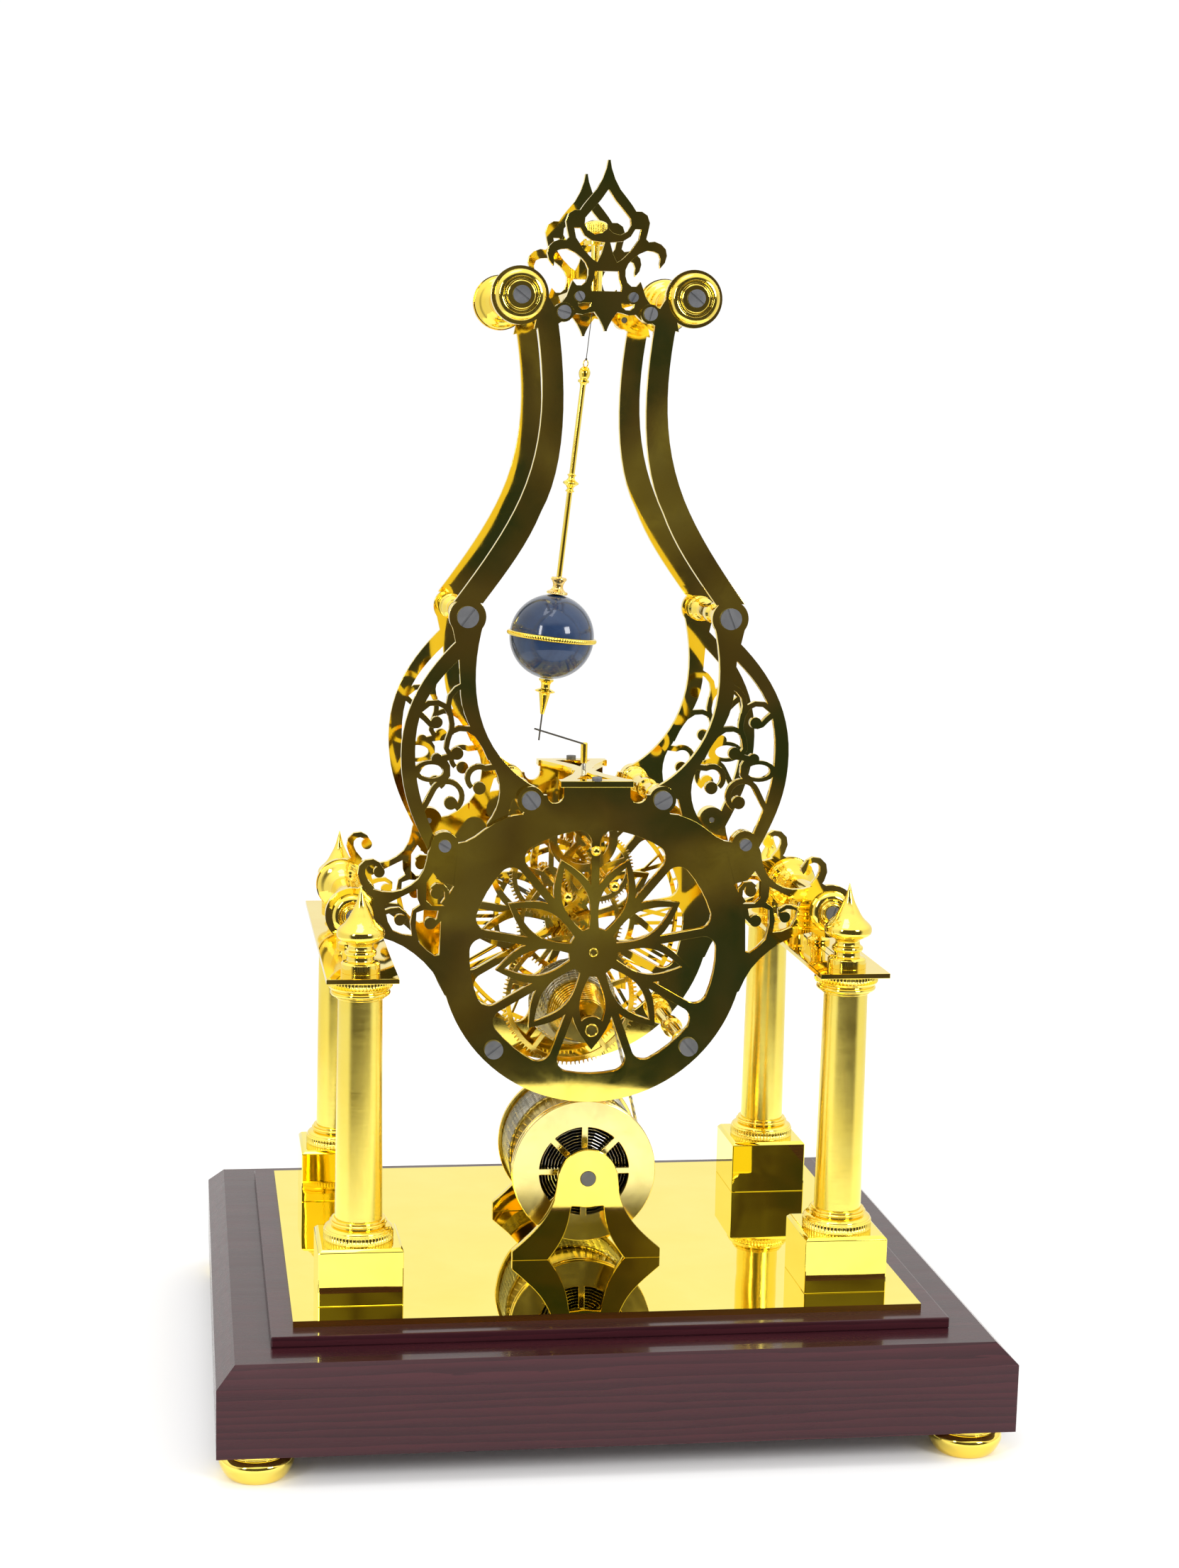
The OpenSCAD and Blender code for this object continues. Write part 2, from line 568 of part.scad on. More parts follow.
module rosette(p, y, r) {
    difference() {
        turned_y(p, -y, [[0, 0], [r, 0], [r, -1.2], [r - 0.6, -2.6], [r - 1.8, -3.6], [r - 2.8, -3.8],
            [r - 3.4, -3], [r - 4.2, -3], [r - 4.8, -3.9], [0, -3.9]]);
        rod_y(p, -y - 5, -y + 1, screw_hole);
    }
}
module rosettes() {
    color("gold") front_back() both() {
        rosette(spool_hi, inner_y, 9.9);
        rosette(spool_lo, plate_y, 8.4);
    }
}
module screw(p, y, head, shank, l, a) {
    difference() {
        union() {
            rod_y(p, -y - 1.5, -y, head);
            rod_y(p, -y - 0.1, -y + l, shank);
        }
        translate([p[0], -y - 1.1, axis_z + p[1]]) rotate([0, a, 0])
            translate([-head - 1, -1, -0.35]) cube([2 * head + 2, 1, 0.7]);
    }
}
module frame_screws() {
    color("dimgray") front_back() {
        screw([-ear[0], ear[1]], plate_y, 3.7, 1.5, 12, 52);
        screw(ear, plate_y, 3.7, 1.5, 12, -28);
        screw([-low[0], low[1]], plate_y, 3.7, 1.5, 10, -38);
        screw(low, plate_y, 3.7, 1.5, 10, 50);
        screw([-waist[0], waist[1]], inner_y, 4.2, 1.5, 10, -52);
        screw(waist, inner_y, 4.2, 1.5, 10, 68);
        screw([-spool_hi[0], spool_hi[1]], inner_y + 3.9, 3.4, 1.5, 14, 38);
        screw(spool_hi, inner_y + 3.9, 3.4, 1.5, 14, 40);
        screw([-spool_lo[0], spool_lo[1]], plate_y + 3.9, 2.9, 1.5, 14, 15);
        screw(spool_lo, plate_y + 3.9, 2.9, 1.5, 14, -72);
        screw([-lug[0], lug[1]], plate_y, 2.4, 1.15, 5.6, 30);
        screw(lug, plate_y, 2.4, 1.15, 5.6, -42);
        screw([-crest_lug[0], crest_lug[1]], inner_y, 2.6, 1.15, 5.6, 15);
        screw(crest_lug, inner_y, 2.6, 1.15, 5.6, -75);
        screw([-hang_lug[0], hang_lug[1]], lyre_y, 1.9, 1, 8, 60);
        screw(hang_lug, lyre_y, 1.9, 1, 8, -60);
        translate([0, -plate_y + plate_t / 2, bridge_z + 2.5]) difference() {
            union() {
                cylinder(r = 2, h = 1.4);
                translate([0, 0, -7]) cylinder(r = 1, h = 7.1);
            }
            translate([-3, -0.3, 0.9]) cube([6, 0.6, 1]);
        }
    }
}
module pivot_caps() {
    color("gold") front_back() for (c = [third_c, fourth_c, contra_c])
        turned_y(c, -plate_y, [[0, 0], [2, 0], [2, -0.7], [1.7, -1.5], [1.1, -2.1], [0, -2.3]]);
}

// ---- spindle bridge ----
module spindle_bridge() {
    color("gold") difference() {
        translate([0, 0, bridge_z]) linear_extrude(2.5) offset(delta = -0.5) offset(delta = 0.5) {
            for (s = [-1, 1]) {
                translate([-14.5, s > 0 ? plate_y - 6 : -plate_y]) square([29, 6]);
                band([[s * 11.6, plate_y - 3], [s * 4, 14], [s * 0.5, 0]], 5.5, 5.5);
                band([[s * 11.6, -plate_y + 3], [s * 4, -14], [s * 0.5, 0]], 5.5, 5.5);
            }
            circle(r = 5);
        }
        translate([0, 0, bridge_z - 1]) cylinder(r = 0.85, h = 5);
        for (s = [-1, 1]) translate([0, s * (plate_y - 1.5), bridge_z - 1]) cylinder(r = 1.1, h = 5);
    }
}
module spindle_cock() {
    color("gold") difference() {
        union() {
            translate([-2, 7.8, bridge_z - 18]) cube([4, 3.4, 18]);
            translate([-2, 0, bridge_z - 18]) cube([4, 10, 2.2]);
            translate([0, 0, bridge_z - 18]) cylinder(r = 2, h = 2.2);
        }
        translate([0, 0, bridge_z - 19]) cylinder(r = 0.85, h = 5);
    }
}

// ---- going train ----
module great_wheel() {
    color("gold") union() {
        wheel(great_c, great_n, m_great, great_y, wheel_t, 90 + 180 / great_n, 5, 2.05);
        difference() {
            rod_y(great_c, great_y + wheel_t, great_y + wheel_t + 1.6, 4.2);
            rod_y(great_c, great_y, great_y + 6, 2.05);
        }
    }
}
module winding_click() {
    p = great_c + [0, 15.4];
    color("dimgray") union() {
        slab(18.3, 19.6) polygon([p + [-4.6, 0.6], p + [-1, 2], p + [2, 1.6], p + [2.4, -1],
            p + [0.6, -2], p + [-2.6, -1.6], p + [-5.2, -4.1], p + [-6, -2.6]]);
        rod_y(p, 19.5, great_y, 1.2);
    }
}
function fus_r(i) = 9.2 + 0.28 * i + 0.0105 * i * i;
module fusee() {
    color("gold") union() {
        turned_y(great_c, -19, concat([[0, 0], [8.6, 0], [8.6, 1]],
            [for (i = [0:17]) for (k = [0:1]) [fus_r(i), 1 + 2 * (i + k)]], [[0, 37]]));
        slab(17.9, 19.7) translate(great_c) teeth(24, 11.4, 0.8, 0.8, 0.05, 0.3, 3);
        rod_y(great_c, -plate_y + 0.3, plate_y + 0.5, 2);
        translate([-1.4, plate_y + 0.4, axis_z + great_c[1] - 1.4]) cube([2.8, 5.2, 2.8]);
    }
}
module arbor(p, y0, y1) {
    rod_y(p, y0, y1, arbor_r);
}
module centre_wheel() {
    color("gold") union() {
        wheel([0, 0], centre_n, m_centre, centre_y, wheel_t, third_a + 180 / centre_n, 5, arbor_r - 0.1);
        arbor([0, 0], -plate_y + 0.3, 48.6);
        slab(great_y - 1, great_y + 3.4) pinion_outline(centre_pn, m_great, 90);
    }
}
module third_wheel() {
    color("gold") union() {
        wheel(third_c, third_n, m_third, third_y, wheel_t, fourth_a + 180 / third_n, 5, arbor_r - 0.1);
        arbor(third_c, -plate_y + 0.3, plate_y - 0.3);
        slab(centre_y - 1.2, centre_y + 2.8) translate(third_c)
            pinion_outline(third_pn, m_centre, third_a + 180);
    }
}
module fourth_wheel() {
    color("gold") union() {
        wheel(fourth_c, fourth_n, m_fourth, fourth_y, wheel_t, contra_a + 180 / fourth_n, 5, arbor_r - 0.1);
        arbor(fourth_c, -plate_y + 0.3, plate_y - 0.3);
        slab(third_y - 1.2, third_y + 2.8) translate(fourth_c)
            pinion_outline(fourth_pn, m_third, fourth_a + 180);
    }
}
module contrate_wheel() {
    color("gold") union() {
        difference() {
            rod_y(contra_c, -4, -2.4, contra_r + 1.1);
            crossing(contra_c, -5, -1, 3.4, contra_r - 2.2, 4, 1.8, 45);
        }
        for (i = [0:contra_n - 1]) rotate_about(contra_c, (i + 0.5) * 360 / contra_n)
            translate([-0.2, -2.6, contra_r - 0.9]) cube([0.4, 1.65, 1.8]);
        arbor(contra_c, -plate_y + 0.3, plate_y - 0.3);
        slab(fourth_y - 1.2, fourth_y + 2.8) translate(contra_c)
            pinion_outline(contra_pn, m_fourth, contra_a + 180);
    }
}
module rotate_about(p, a) {
    translate([p[0], 0, axis_z + p[1]]) rotate([0, a, 0]) children();
}
module spindle() {
    z = axis_z + contra_c[1] + contra_r;
    color("silver") union() {
        translate([0, 0, bridge_z - 17.6]) cylinder(r = 0.8, h = spindle_top - 1 - bridge_z + 17.6);
        translate([0, 0, z - 2.4]) linear_extrude(4.8)
            teeth(spin_pn, 4 * m_contra, 0.3, 0.6, 0.1, 0.2, -90);
    }
}
module crank_wire() {
    color("gold") union() {
        difference() {
            translate([0, 0, spindle_top - 8.3]) cylinder(r = 1.4, h = 8.3);
            translate([0, 0, spindle_top - 9]) cylinder(r = 0.82, h = 8);
        }
        translate([0, -0.95, spindle_top - 0.6]) rotate([0, -73, 0]) cylinder(r = 0.3, h = 21.6);
    }
}

// ---- barrel on its stands ----
bar_c = [0, barrel_z - axis_z];
module barrel_drum() {
    w = barrel_y;
    color("gold") turned_y(bar_c, 0, [[drum_r - 1.6, -w + 2.7], [barrel_r, -w + 2.7], [barrel_r, -w + 4.4],
        [drum_r, -w + 4.4], [drum_r, w - 2.4], [barrel_r, w - 2.4], [barrel_r, w], [3.05, w],
        [3.05, w - 2.4], [drum_r - 1.6, w - 2.4]]);
}
module barrel_cap() {
    color("gold") difference() {
        union() {
            rod_y(bar_c, -barrel_y, -barrel_y + 2.6, barrel_r - 0.1);
            rod_y(bar_c, -barrel_y - 1.2, -barrel_y + 1, 5.6);
        }
        crossing(bar_c, -barrel_y - 2, -barrel_y + 4, 7.6, 18.4, 8, 2.4, 90);
        rod_y(bar_c, -barrel_y - 3, -barrel_y + 4, 3.05);
    }
}
function spiral(r0, r1, turns, n, off) = [for (i = [0:n]) let (t = i / n)
    (r0 + (r1 - r0) * t + off) * [cos(360 * turns * t), sin(360 * turns * t)]];
module mainspring() {
    color("dimgray") slab(-barrel_y + 3.6, barrel_y - 3.2) translate(bar_c)
        polygon(concat(spiral(6, 24.4, 14, 280, -0.22), rev(spiral(6, 24.4, 14, 280, 0.22))));
}
module barrel_arbor() {
    color("silver") union() {
        rod_y(bar_c, -34.6, 38, 3);
        rod_y(bar_c, -barrel_y + 3.4, barrel_y - 3.1, 4.6);
    }
}
click_c = bar_c + [3, 11.2];
module stand_outline(ear_r) {
    offset(delta = -0.3) offset(delta = 0.3) translate(bar_c) difference() {
        union() {
            circle(r = 12);
            dot([3, 11.2], ear_r);
            both() polygon(concat([[0, 0], [12, 2.6]],
                bez([12.9, -6], [14.6, -15.5], [21.5, -22.5], [30.2, -29.8], 12),
                [[30.2, sole_top - barrel_z]],
                bez([15.6, sole_top - barrel_z], [11, -27.5], [7.8, -22.5], [6.8, -12.5], 10),
                [[6.4, -11.4], [0, -11.8]]));
        }
        circle(r = 2);
    }
}
module back_stand() {
    color("gold") difference() {
        slab(-34.2, -30.8) stand_outline(0.2);
        rod_y(bar_c, -36, -30, 3.05);
    }
}
module front_stand() {
    color("gold") difference() {
        slab(30.2, 33.6) stand_outline(3);
        rod_y(bar_c, 30, 36, 3.05);
        rod_y(click_c, 30, 36, 1.15);
    }
}
module setup_ratchet() {
    color("dimgray") difference() {
        slab(33.9, 35.7) translate(bar_c) teeth(30, 8.6, 0.7, 0.5, 0.04, 0.3, 6);
        rod_y(bar_c, 33, 37, 3.02);
    }
}
module setup_click() {
    p = click_c;
    color("dimgray") union() {
        slab(33.9, 35.5) polygon([p + [-1.6, 1.4], p + [1.6, 1.4], p + [1.8, -1], p + [-0.8, -1.5],
            p + [-4.6, -1.75], p + [-6.4, -1.1], p + [-5.6, 0]]);
        rod_y(p, 30.6, 34, 1.1);
        rod_y(p, 35.4, 36.4, 1.7);
    }
}
// ---- chain ----
wrap_r = drum_r + 0.02;
function step_y(i) = -18 + 2 * i;
module ring_y(c, y, r) {
    difference() {
        rod_y(c, y - 0.65, y + 0.65, r + 1.5);
        rod_y(c, y - 1, y + 1, r);
    }
}
module chain_on_barrel() {
    color("silver") for (i = [9:18]) ring_y(bar_c, step_y(i + 0.5), wrap_r);
}
module chain_on_fusee() {
    color("silver") for (i = [9:17]) ring_y(great_c, step_y(i + 0.5), fus_r(i) + 0.02);
}
module chain_run() {
    d = great_c[1] - bar_c[1];
    r1 = drum_r + 1.15;
    r2 = fus_r(8) + 1.15;
    b = asin((r1 - r2) / d);
    n = [cos(b), sin(b)];
    color("silver") slab(step_y(8.5) - 0.65, step_y(8.5) + 0.65)
        band([bar_c + r1 * n, great_c + r2 * n], 1.5, 1.5);
}

// ---- dial, hands and motion work ----
module numeral(strokes) {
    for (s = strokes) polygon([[s[1] - s[2] / 2, 30], [s[1] + s[2] / 2, 30], [s[0] + s[2] / 2, 47.6],
        [s[0] - s[2] / 2, 47.6]]);
}
function one(x) = [[x, x, 1.5]];
function five(x) = [[x - 2.4, x, 1.7], [x + 2.4, x, 0.9]];
function ten(x) = [[x - 2.3, x + 2.3, 1.7], [x + 2.3, x - 2.3, 0.9]];
hours = [one(0), concat(one(-1.6), one(1.6)), concat(one(-3), one(0), one(3)), concat(one(-3.6), five(1)),
    five(0), concat(five(-1.2), one(3.2)), concat(five(-2.6), one(1.8), one(4.6)),
    concat(five(-4), one(0.4), one(3), one(5.6)), concat(one(-3.6), ten(0.9)), ten(0),
    concat(ten(-1.2), one(3.4)), concat(ten(-2.6), one(1.9), one(4.7))];
module dial_ring() {
    color("gold") union() {
        slab(dial_y, dial_y + 1.5) mirror([1, 0]) offset(delta = 0.01) {
            difference() {
                circle(r = 58);
                circle(r = 54.4);
            }
            difference() {
                circle(r = 49);
                circle(r = 47.2);
            }
            difference() {
                circle(r = 30.6);
                circle(r = 28.4);
            }
            for (i = [0:59]) rotate(6 * i) translate([i % 5 == 0 ? -0.9 : -0.4, 48.6])
                square([i % 5 == 0 ? 1.8 : 0.8, 6.2]);
            difference() {
                for (i = [1:12]) rotate(-30 * i) numeral(hours[i - 1]);
                dot(great_c, 3.6);
            }
            difference() {
                dot(great_c, 4.6);
                dot(great_c, 3.4);
            }
        }
        for (a = [90, 210, 330]) rod_y(56.2 * [cos(a), sin(a)], plate_y, dial_y + 0.2, 1.7);
    }
}
module hand_outline(l, w) {
    polygon([[-w / 2, 0], [-w / 3, l * 0.62], [-w, l * 0.7], [-w * 0.9, l * 0.78], [-w / 3, l * 0.86], [0, l],
        [w / 3, l * 0.86], [w * 0.9, l * 0.78], [w, l * 0.7], [w / 3, l * 0.62], [w / 2, 0]]);
}
m_hand = 24 / 48;
m_hour = 24 / 50;
hand_a = 90;
module minute_hand() {
    color("dimgray") difference() {
        union() {
            slab(46.6, 47.6) mirror([1, 0]) rotate(-60) {
                hand_outline(50, 2.4);
                circle(r = 3.4);
            }
            rod_y([0, 0], plate_y + 0.6, 46.8, 2.1);
            slab(plate_y + 0.6, plate_y + 2.6) teeth(12, 6 * m_hand, 0.35, 0.65, 0.08, 0.17, hand_a);
        }
        rod_y([0, 0], plate_y, 48, arbor_r + 0.05);
    }
}
module minute_wheel() {
    p = 12 * [cos(hand_a), sin(hand_a)];
    color("gold") difference() {
        union() {
            slab(plate_y + 0.6, plate_y + 2.2) translate(p) teeth(36, 18 * m_hand, 0.42, 0.7, 0.09, 0.2,
                hand_a + 180 + 5);
            slab(plate_y + 2.1, plate_y + 4.6) translate(p) teeth(10, 5 * m_hour, 0.34, 0.6, 0.08, 0.17,
                hand_a + 180);
        }
        crossing(p, plate_y, plate_y + 2.05, 3.6, 6.6, 4, 1.8, 90);
        rod_y(p, plate_y, plate_y + 6, 1.05);
    }
}
module hour_hand() {
    color("dimgray") difference() {
        union() {
            slab(44.6, 45.6) mirror([1, 0]) rotate(-305) {
                hand_outline(33, 3);
                circle(r = 4.4);
            }
            rod_y([0, 0], plate_y + 3, 44.8, 3.1);
            slab(plate_y + 3, plate_y + 4.4) teeth(40, 20 * m_hour, 0.42, 0.7, 0.09, 0.2, hand_a + 4.5);
        }
        rod_y([0, 0], plate_y, 48, 2.15);
    }
}

// ---- suspension and pendulum ----
module suspension_bar() {
    z = axis_z + 248.6;
    color("gold") difference() {
        union() {
            translate([-12.4, -crest_y, z + 3.6]) cube([24.8, 2 * crest_y, 4.8]);
            translate([0, 0, z + 8]) cylinder(r = 2.9, h = 9.5);
        }
        translate([0, 0, z]) cylinder(r = 1.75, h = 30);
        for (s = [-1, 1]) {
            rod_y([s * hang_lug[0], hang_lug[1]], -crest_y - 1, -crest_y + 6, 1.05);
            rod_y([s * hang_lug[0], hang_lug[1]], crest_y - 6, crest_y + 1, 1.05);
        }
    }
}
module rating_screw() {
    color("gold") translate([0, 0, 436.4]) rotate_extrude() polygon([[0, 0], [1.65, 0], [1.65, 18], [4.6, 18],
        [4.6, 19.6], [2.2, 20], [2.2, 21.4], [3.6, 21.8], [4.6, 22.8], [4.6, 26], [3.6, 27], [1.6, 27.6],
        [0, 27.6]]);
}
module thread_collet() {
    color("gold") difference() {
        translate([0, 0, hang_z - 2.6]) cylinder(r = 1.5, h = 2.7);
        translate([0, 0, hang_z - 4]) cylinder(r1 = 1.2, r2 = 0.3, h = 3.2);
    }
}
module on_pendulum() {
    translate([0, 0, hang_z]) rotate([0, swing, 0]) rotate([180, 0, 0]) children();
}
module suspension_thread() {
    color("dimgray") on_pendulum() translate([0, 0, 0.9]) cylinder(r = 0.16, h = 25.6);
}
module pendulum_rod() {
    color("gold") on_pendulum() rotate_extrude() polygon([[0, 28.6], [1, 28.7], [1.9, 29.6], [2.3, 31.2],
        [2, 32.8], [1.6, 33.6], [2.2, 34], [2.2, 34.8], [1.4, 35.2], [1.1, 36], [1.1, 70.8], [1.8, 71.2],
        [1.2, 72.2], [1.9, 73.4], [3.1, 74.2], [3.1, 74.8], [1.9, 75.4], [1.2, 76.8], [1.8, 77.8],
        [1.1, 78.2], [1.1, 112], [2.8, 112.2], [3.2, 113], [2.4, 114.2], [2, 115.6], [2.4, 117],
        [4.2, 118], [4.2, 118.9], [0, 118.9]]);
    color("gold") on_pendulum() translate([0, 0, 153.1]) rotate_extrude() polygon([[0, 0], [3, 0],
        [3, 0.8], [2, 1.6], [1.8, 4], [4, 4.6], [4, 5.2], [2, 5.6], [1.8, 6.4], [0.6, 14.4], [0, 14.4]]);
}
module pendulum_ball() {
    color("navy") on_pendulum() translate([0, 0, ball_drop]) intersection() {
        sphere(r = ball_r);
        cylinder(r = 40, h = 34.2, center = true);
    }
}
module ball_ring() {
    color("gold") on_pendulum() translate([0, 0, ball_drop]) difference() {
        rotate_extrude() translate([ball_r + 0.1, 0]) circle(r = 1.05);
        sphere(r = ball_r + 0.01);
    }
}
module drive_needle() {
    color("dimgray") on_pendulum() translate([0, 0, 167.52]) cylinder(r = 0.25, h = 10.6);
}

module front_plate() {
    p = 12 * [cos(hand_a), sin(hand_a)];
    color("gold") union() {
        mirror([0, 1, 0]) movement_plate();
        rod_y(p, plate_y - 0.5, plate_y + 4.8, 1);
    }
}

wood_base();
wood_step();
base_plate();
feet();
column_blocks();
column_rings();
columns();
tie_rods();
rod_nuts();
finials();
side_bars();
support_posts();
lower_spools();
movement_plate();  // back_plate
front_plate();
mirror([1, 0, 0]) lyre();  // back_lyre_left
lyre();  // back_lyre_right
mirror([0, 1, 0]) mirror([1, 0, 0]) lyre();  // front_lyre_left
mirror([0, 1, 0]) lyre();  // front_lyre_right
crest();  // back_crest
mirror([0, 1, 0]) crest();  // front_crest
top_spools();
frame_pillars();
rosettes();
frame_screws();
pivot_caps();
spindle_bridge();
spindle_cock();
great_wheel();
winding_click();
fusee();
centre_wheel();
third_wheel();
fourth_wheel();
contrate_wheel();
spindle();
crank_wire();
barrel_drum();
barrel_cap();
mainspring();
barrel_arbor();
back_stand();
front_stand();
setup_ratchet();
setup_click();
chain_on_barrel();
chain_run();
chain_on_fusee();
dial_ring();
minute_hand();
minute_wheel();
hour_hand();
suspension_bar();
rating_screw();
thread_collet();
suspension_thread();
pendulum_rod();
pendulum_ball();
ball_ring();
drive_needle();
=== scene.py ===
"""Skeleton clock with a conical pendulum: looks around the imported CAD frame.

Metres, Z up, with the pierced back of the clock towards -Y. Turned shapes are given in
millimetres, as points of (radius, distance along the turning axis).
"""
import math

import bmesh
import bpy
from mathutils import Matrix, Vector


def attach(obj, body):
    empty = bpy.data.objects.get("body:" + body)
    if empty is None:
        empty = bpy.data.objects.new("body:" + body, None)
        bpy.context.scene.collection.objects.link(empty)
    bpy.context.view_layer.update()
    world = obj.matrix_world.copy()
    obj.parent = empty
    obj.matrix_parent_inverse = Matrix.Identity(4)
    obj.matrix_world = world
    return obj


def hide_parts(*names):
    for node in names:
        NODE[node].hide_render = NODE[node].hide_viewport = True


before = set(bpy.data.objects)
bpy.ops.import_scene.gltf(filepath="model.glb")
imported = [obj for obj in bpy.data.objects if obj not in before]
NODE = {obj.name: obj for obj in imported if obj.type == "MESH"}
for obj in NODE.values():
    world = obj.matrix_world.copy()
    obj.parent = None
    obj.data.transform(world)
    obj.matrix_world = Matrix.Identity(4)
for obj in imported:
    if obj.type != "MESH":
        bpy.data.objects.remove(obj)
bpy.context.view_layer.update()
MM = 0.001
TAU = 2 * math.pi
scene = bpy.context.scene
scene.view_settings.view_transform = "Standard"

# ------------------------------------------------------------------ sizes of the CAD design, in millimetres
COL_X, COL_Y = 94.6, 65.4                # column centres
FOOT_X, FOOT_Y = 135, 113                # centres of the feet
BLOCK_TOP = 74.3                         # top of the blocks under the columns
BAR_Z, BAR_TOP = 176.6, 178.6            # underside and top of the side bars
RING_H = 8                               # height of a column base or capital
ROD_R = 2.2                              # bore for the tie rod in a column
AXIS_Z = 178.5                           # centre arbor above the floor
PLATE_Y, INNER_Y, LYRE_Y = 34.5, 31.5, 28.5  # outer and inner face of a plate, inner face of a lyre
GREAT_DROP = 31.7                        # great arbor below the centre arbor
SPOOL_LO, SPOOL_HI = (95.6, 15.8), (33.6, 254.5)       # spools, from the centre arbor
WAIST, EAR, LOW = (51.8, 132.2), (26.2, 61), (39.3, -38.9)  # pillars, from the centre arbor
HANG_Z, SWING = 436.0, math.radians(6)   # suspension point and lean of the pendulum
BALL_DROP, BALL_R = 136, 17              # ball centre below the suspension point, ball radius
BARREL_Z = 85.5                          # barrel arbor above the floor
DRUM_R = 26.6                            # floor of the grooves of the barrel
ROW_START, ROW_STEP = -17, 2             # place along Y of chain row 0, and from row to row

SIDES = (-1, 1)
CORNERS = [(sx, sy) for sx in SIDES for sy in SIDES]
COLUMNS = [(sx * COL_X, sy * COL_Y) for sx, sy in CORNERS]

# ------------------------------------------------------------------ camera, at the photograph's viewing angle
CAM_AT = (-161.39, -984.4, 381.75)
YAW, PITCH, ROLL = (math.radians(a) for a in (7.505, 9.095, 1.015))
FOCAL, SENSOR = 56.95226, 36
SHIFT_X, SHIFT_Y = 0.0538427, 0.0283906


def camera():
    data = bpy.data.cameras.new("camera")
    cam = bpy.data.objects.new("camera", data)
    scene.collection.objects.link(cam)
    scene.camera = cam
    ahead = Vector((math.sin(YAW) * math.cos(PITCH), math.cos(YAW) * math.cos(PITCH), -math.sin(PITCH)))
    right = Vector((math.cos(YAW), -math.sin(YAW), 0))
    up = right.cross(ahead)
    rolled_right = right * math.cos(ROLL) + up * math.sin(ROLL)
    rolled_up = up * math.cos(ROLL) - right * math.sin(ROLL)
    rows = [(r, u, -a, p * MM) for r, u, a, p in zip(rolled_right, rolled_up, ahead, CAM_AT)]
    cam.matrix_world = Matrix(rows + [(0, 0, 0, 1)])
    data.sensor_width = SENSOR
    data.lens = FOCAL
    data.shift_x, data.shift_y = SHIFT_X, SHIFT_Y
    data.clip_start, data.clip_end = 0.05, 60


# ------------------------------------------------------------------ shader helpers
class Nodes:
    """Short ways to add and join nodes of one shader tree."""

    def __init__(self, tree):
        self.tree = tree

    def new(self, kind, inputs=(), **settings):
        node = self.tree.nodes.new(kind)
        for key, value in settings.items():
            setattr(node, key, value)
        for key, value in inputs:
            node.inputs[key].default_value = value
        return node

    def link(self, source, target):
        self.tree.links.new(source, target)

    def noise(self, vec, scale, detail=3, rough=0.5, dist=0.0):
        n = self.new("ShaderNodeTexNoise", (("Scale", scale), ("Detail", detail),
                                            ("Roughness", rough), ("Distortion", dist)))
        self.link(vec, n.inputs["Vector"])
        return n.outputs["Fac"]

    def ramp(self, fac, lo, hi, out_lo, out_hi, **settings):
        n = self.new("ShaderNodeMapRange", (("From Min", lo), ("From Max", hi),
                                            ("To Min", out_lo), ("To Max", out_hi)), **settings)
        self.link(fac, n.inputs["Value"])
        return n.outputs["Result"]

    def colours(self, fac, a, b, lo=0.3, hi=0.7, middle=None):
        n = self.new("ShaderNodeValToRGB")
        stops = n.color_ramp.elements
        stops[0].position, stops[0].color = lo, (*a, 1)
        stops[1].position, stops[1].color = hi, (*b, 1)
        if middle:
            stops.new(0.5).color = (*middle, 1)
        self.link(fac, n.inputs["Fac"])
        return n.outputs["Color"]


class Mat(Nodes):
    """One material, made with the numbers of its own shader's sockets."""

    def __init__(self, name, **sockets):
        self.m = bpy.data.materials.new(name)
        self.m.use_nodes = True
        super().__init__(self.m.node_tree)
        self.shader = self.tree.nodes["Principled BSDF"]
        self.coord = self.new("ShaderNodeTexCoord")
        for key, value in sockets.items():
            self.shader.inputs[key.replace("_", " ")].default_value = value

    def mapping(self, scale=(1, 1, 1), rot=(0, 0, 0)):
        n = self.new("ShaderNodeMapping", (("Scale", scale), ("Rotation", rot)))
        self.link(self.coord.outputs["Object"], n.inputs["Vector"])
        return n.outputs["Vector"]

    def base(self, colour):
        self.link(colour, self.shader.inputs["Base Color"])

    def rough(self, value):
        self.link(value, self.shader.inputs["Roughness"])

    def bump(self, height, strength, dist, below=None, socket="Normal"):
        """Adds relief, on top of the relief below when there is one."""
        n = self.new("ShaderNodeBump", (("Strength", strength), ("Distance", dist)))
        self.link(height, n.inputs["Height"])
        if below is not None:
            self.link(below, n.inputs["Normal"])
        self.link(n.outputs["Normal"], self.shader.inputs[socket])
        return n.outputs["Normal"]


# ------------------------------------------------------------------ materials
GOLD = (1.0, 0.80, 0.17)
GOLD_DEEP = (0.96, 0.72, 0.10)


def brass(name, a=GOLD, b=GOLD_DEEP, r0=0.02, r1=0.07, scratch=0.05,
          grain=None, grain_d=0.00002, grain_s=0.2):
    """Brass between colours a and b and roughness r0 and r1.

    It has slow waves, fine wipe marks, and turning or brushing grain along one axis.
    """
    k = Mat(name, Metallic=1.0)
    v = k.mapping()
    k.base(k.colours(k.noise(v, 26, 4, 0.6, 0.4), a, b))
    k.rough(k.ramp(k.noise(v, 85, 5, 0.65, 0.8), 0.3, 0.75, r0, r1))
    waves = k.bump(k.noise(v, 22, 1, 0.4), 0.35, 0.0006)
    wipes = k.noise(k.mapping((900, 60, 700), rot=(0.3, 0.5, 0.7)), 1, 2, 0.5, 0.3)
    relief = k.bump(wipes, scratch, 0.00001, waves)
    if grain:
        k.bump(k.noise(k.mapping(grain), 1, 3, 0.6), grain_s, grain_d, relief)
    return k.m


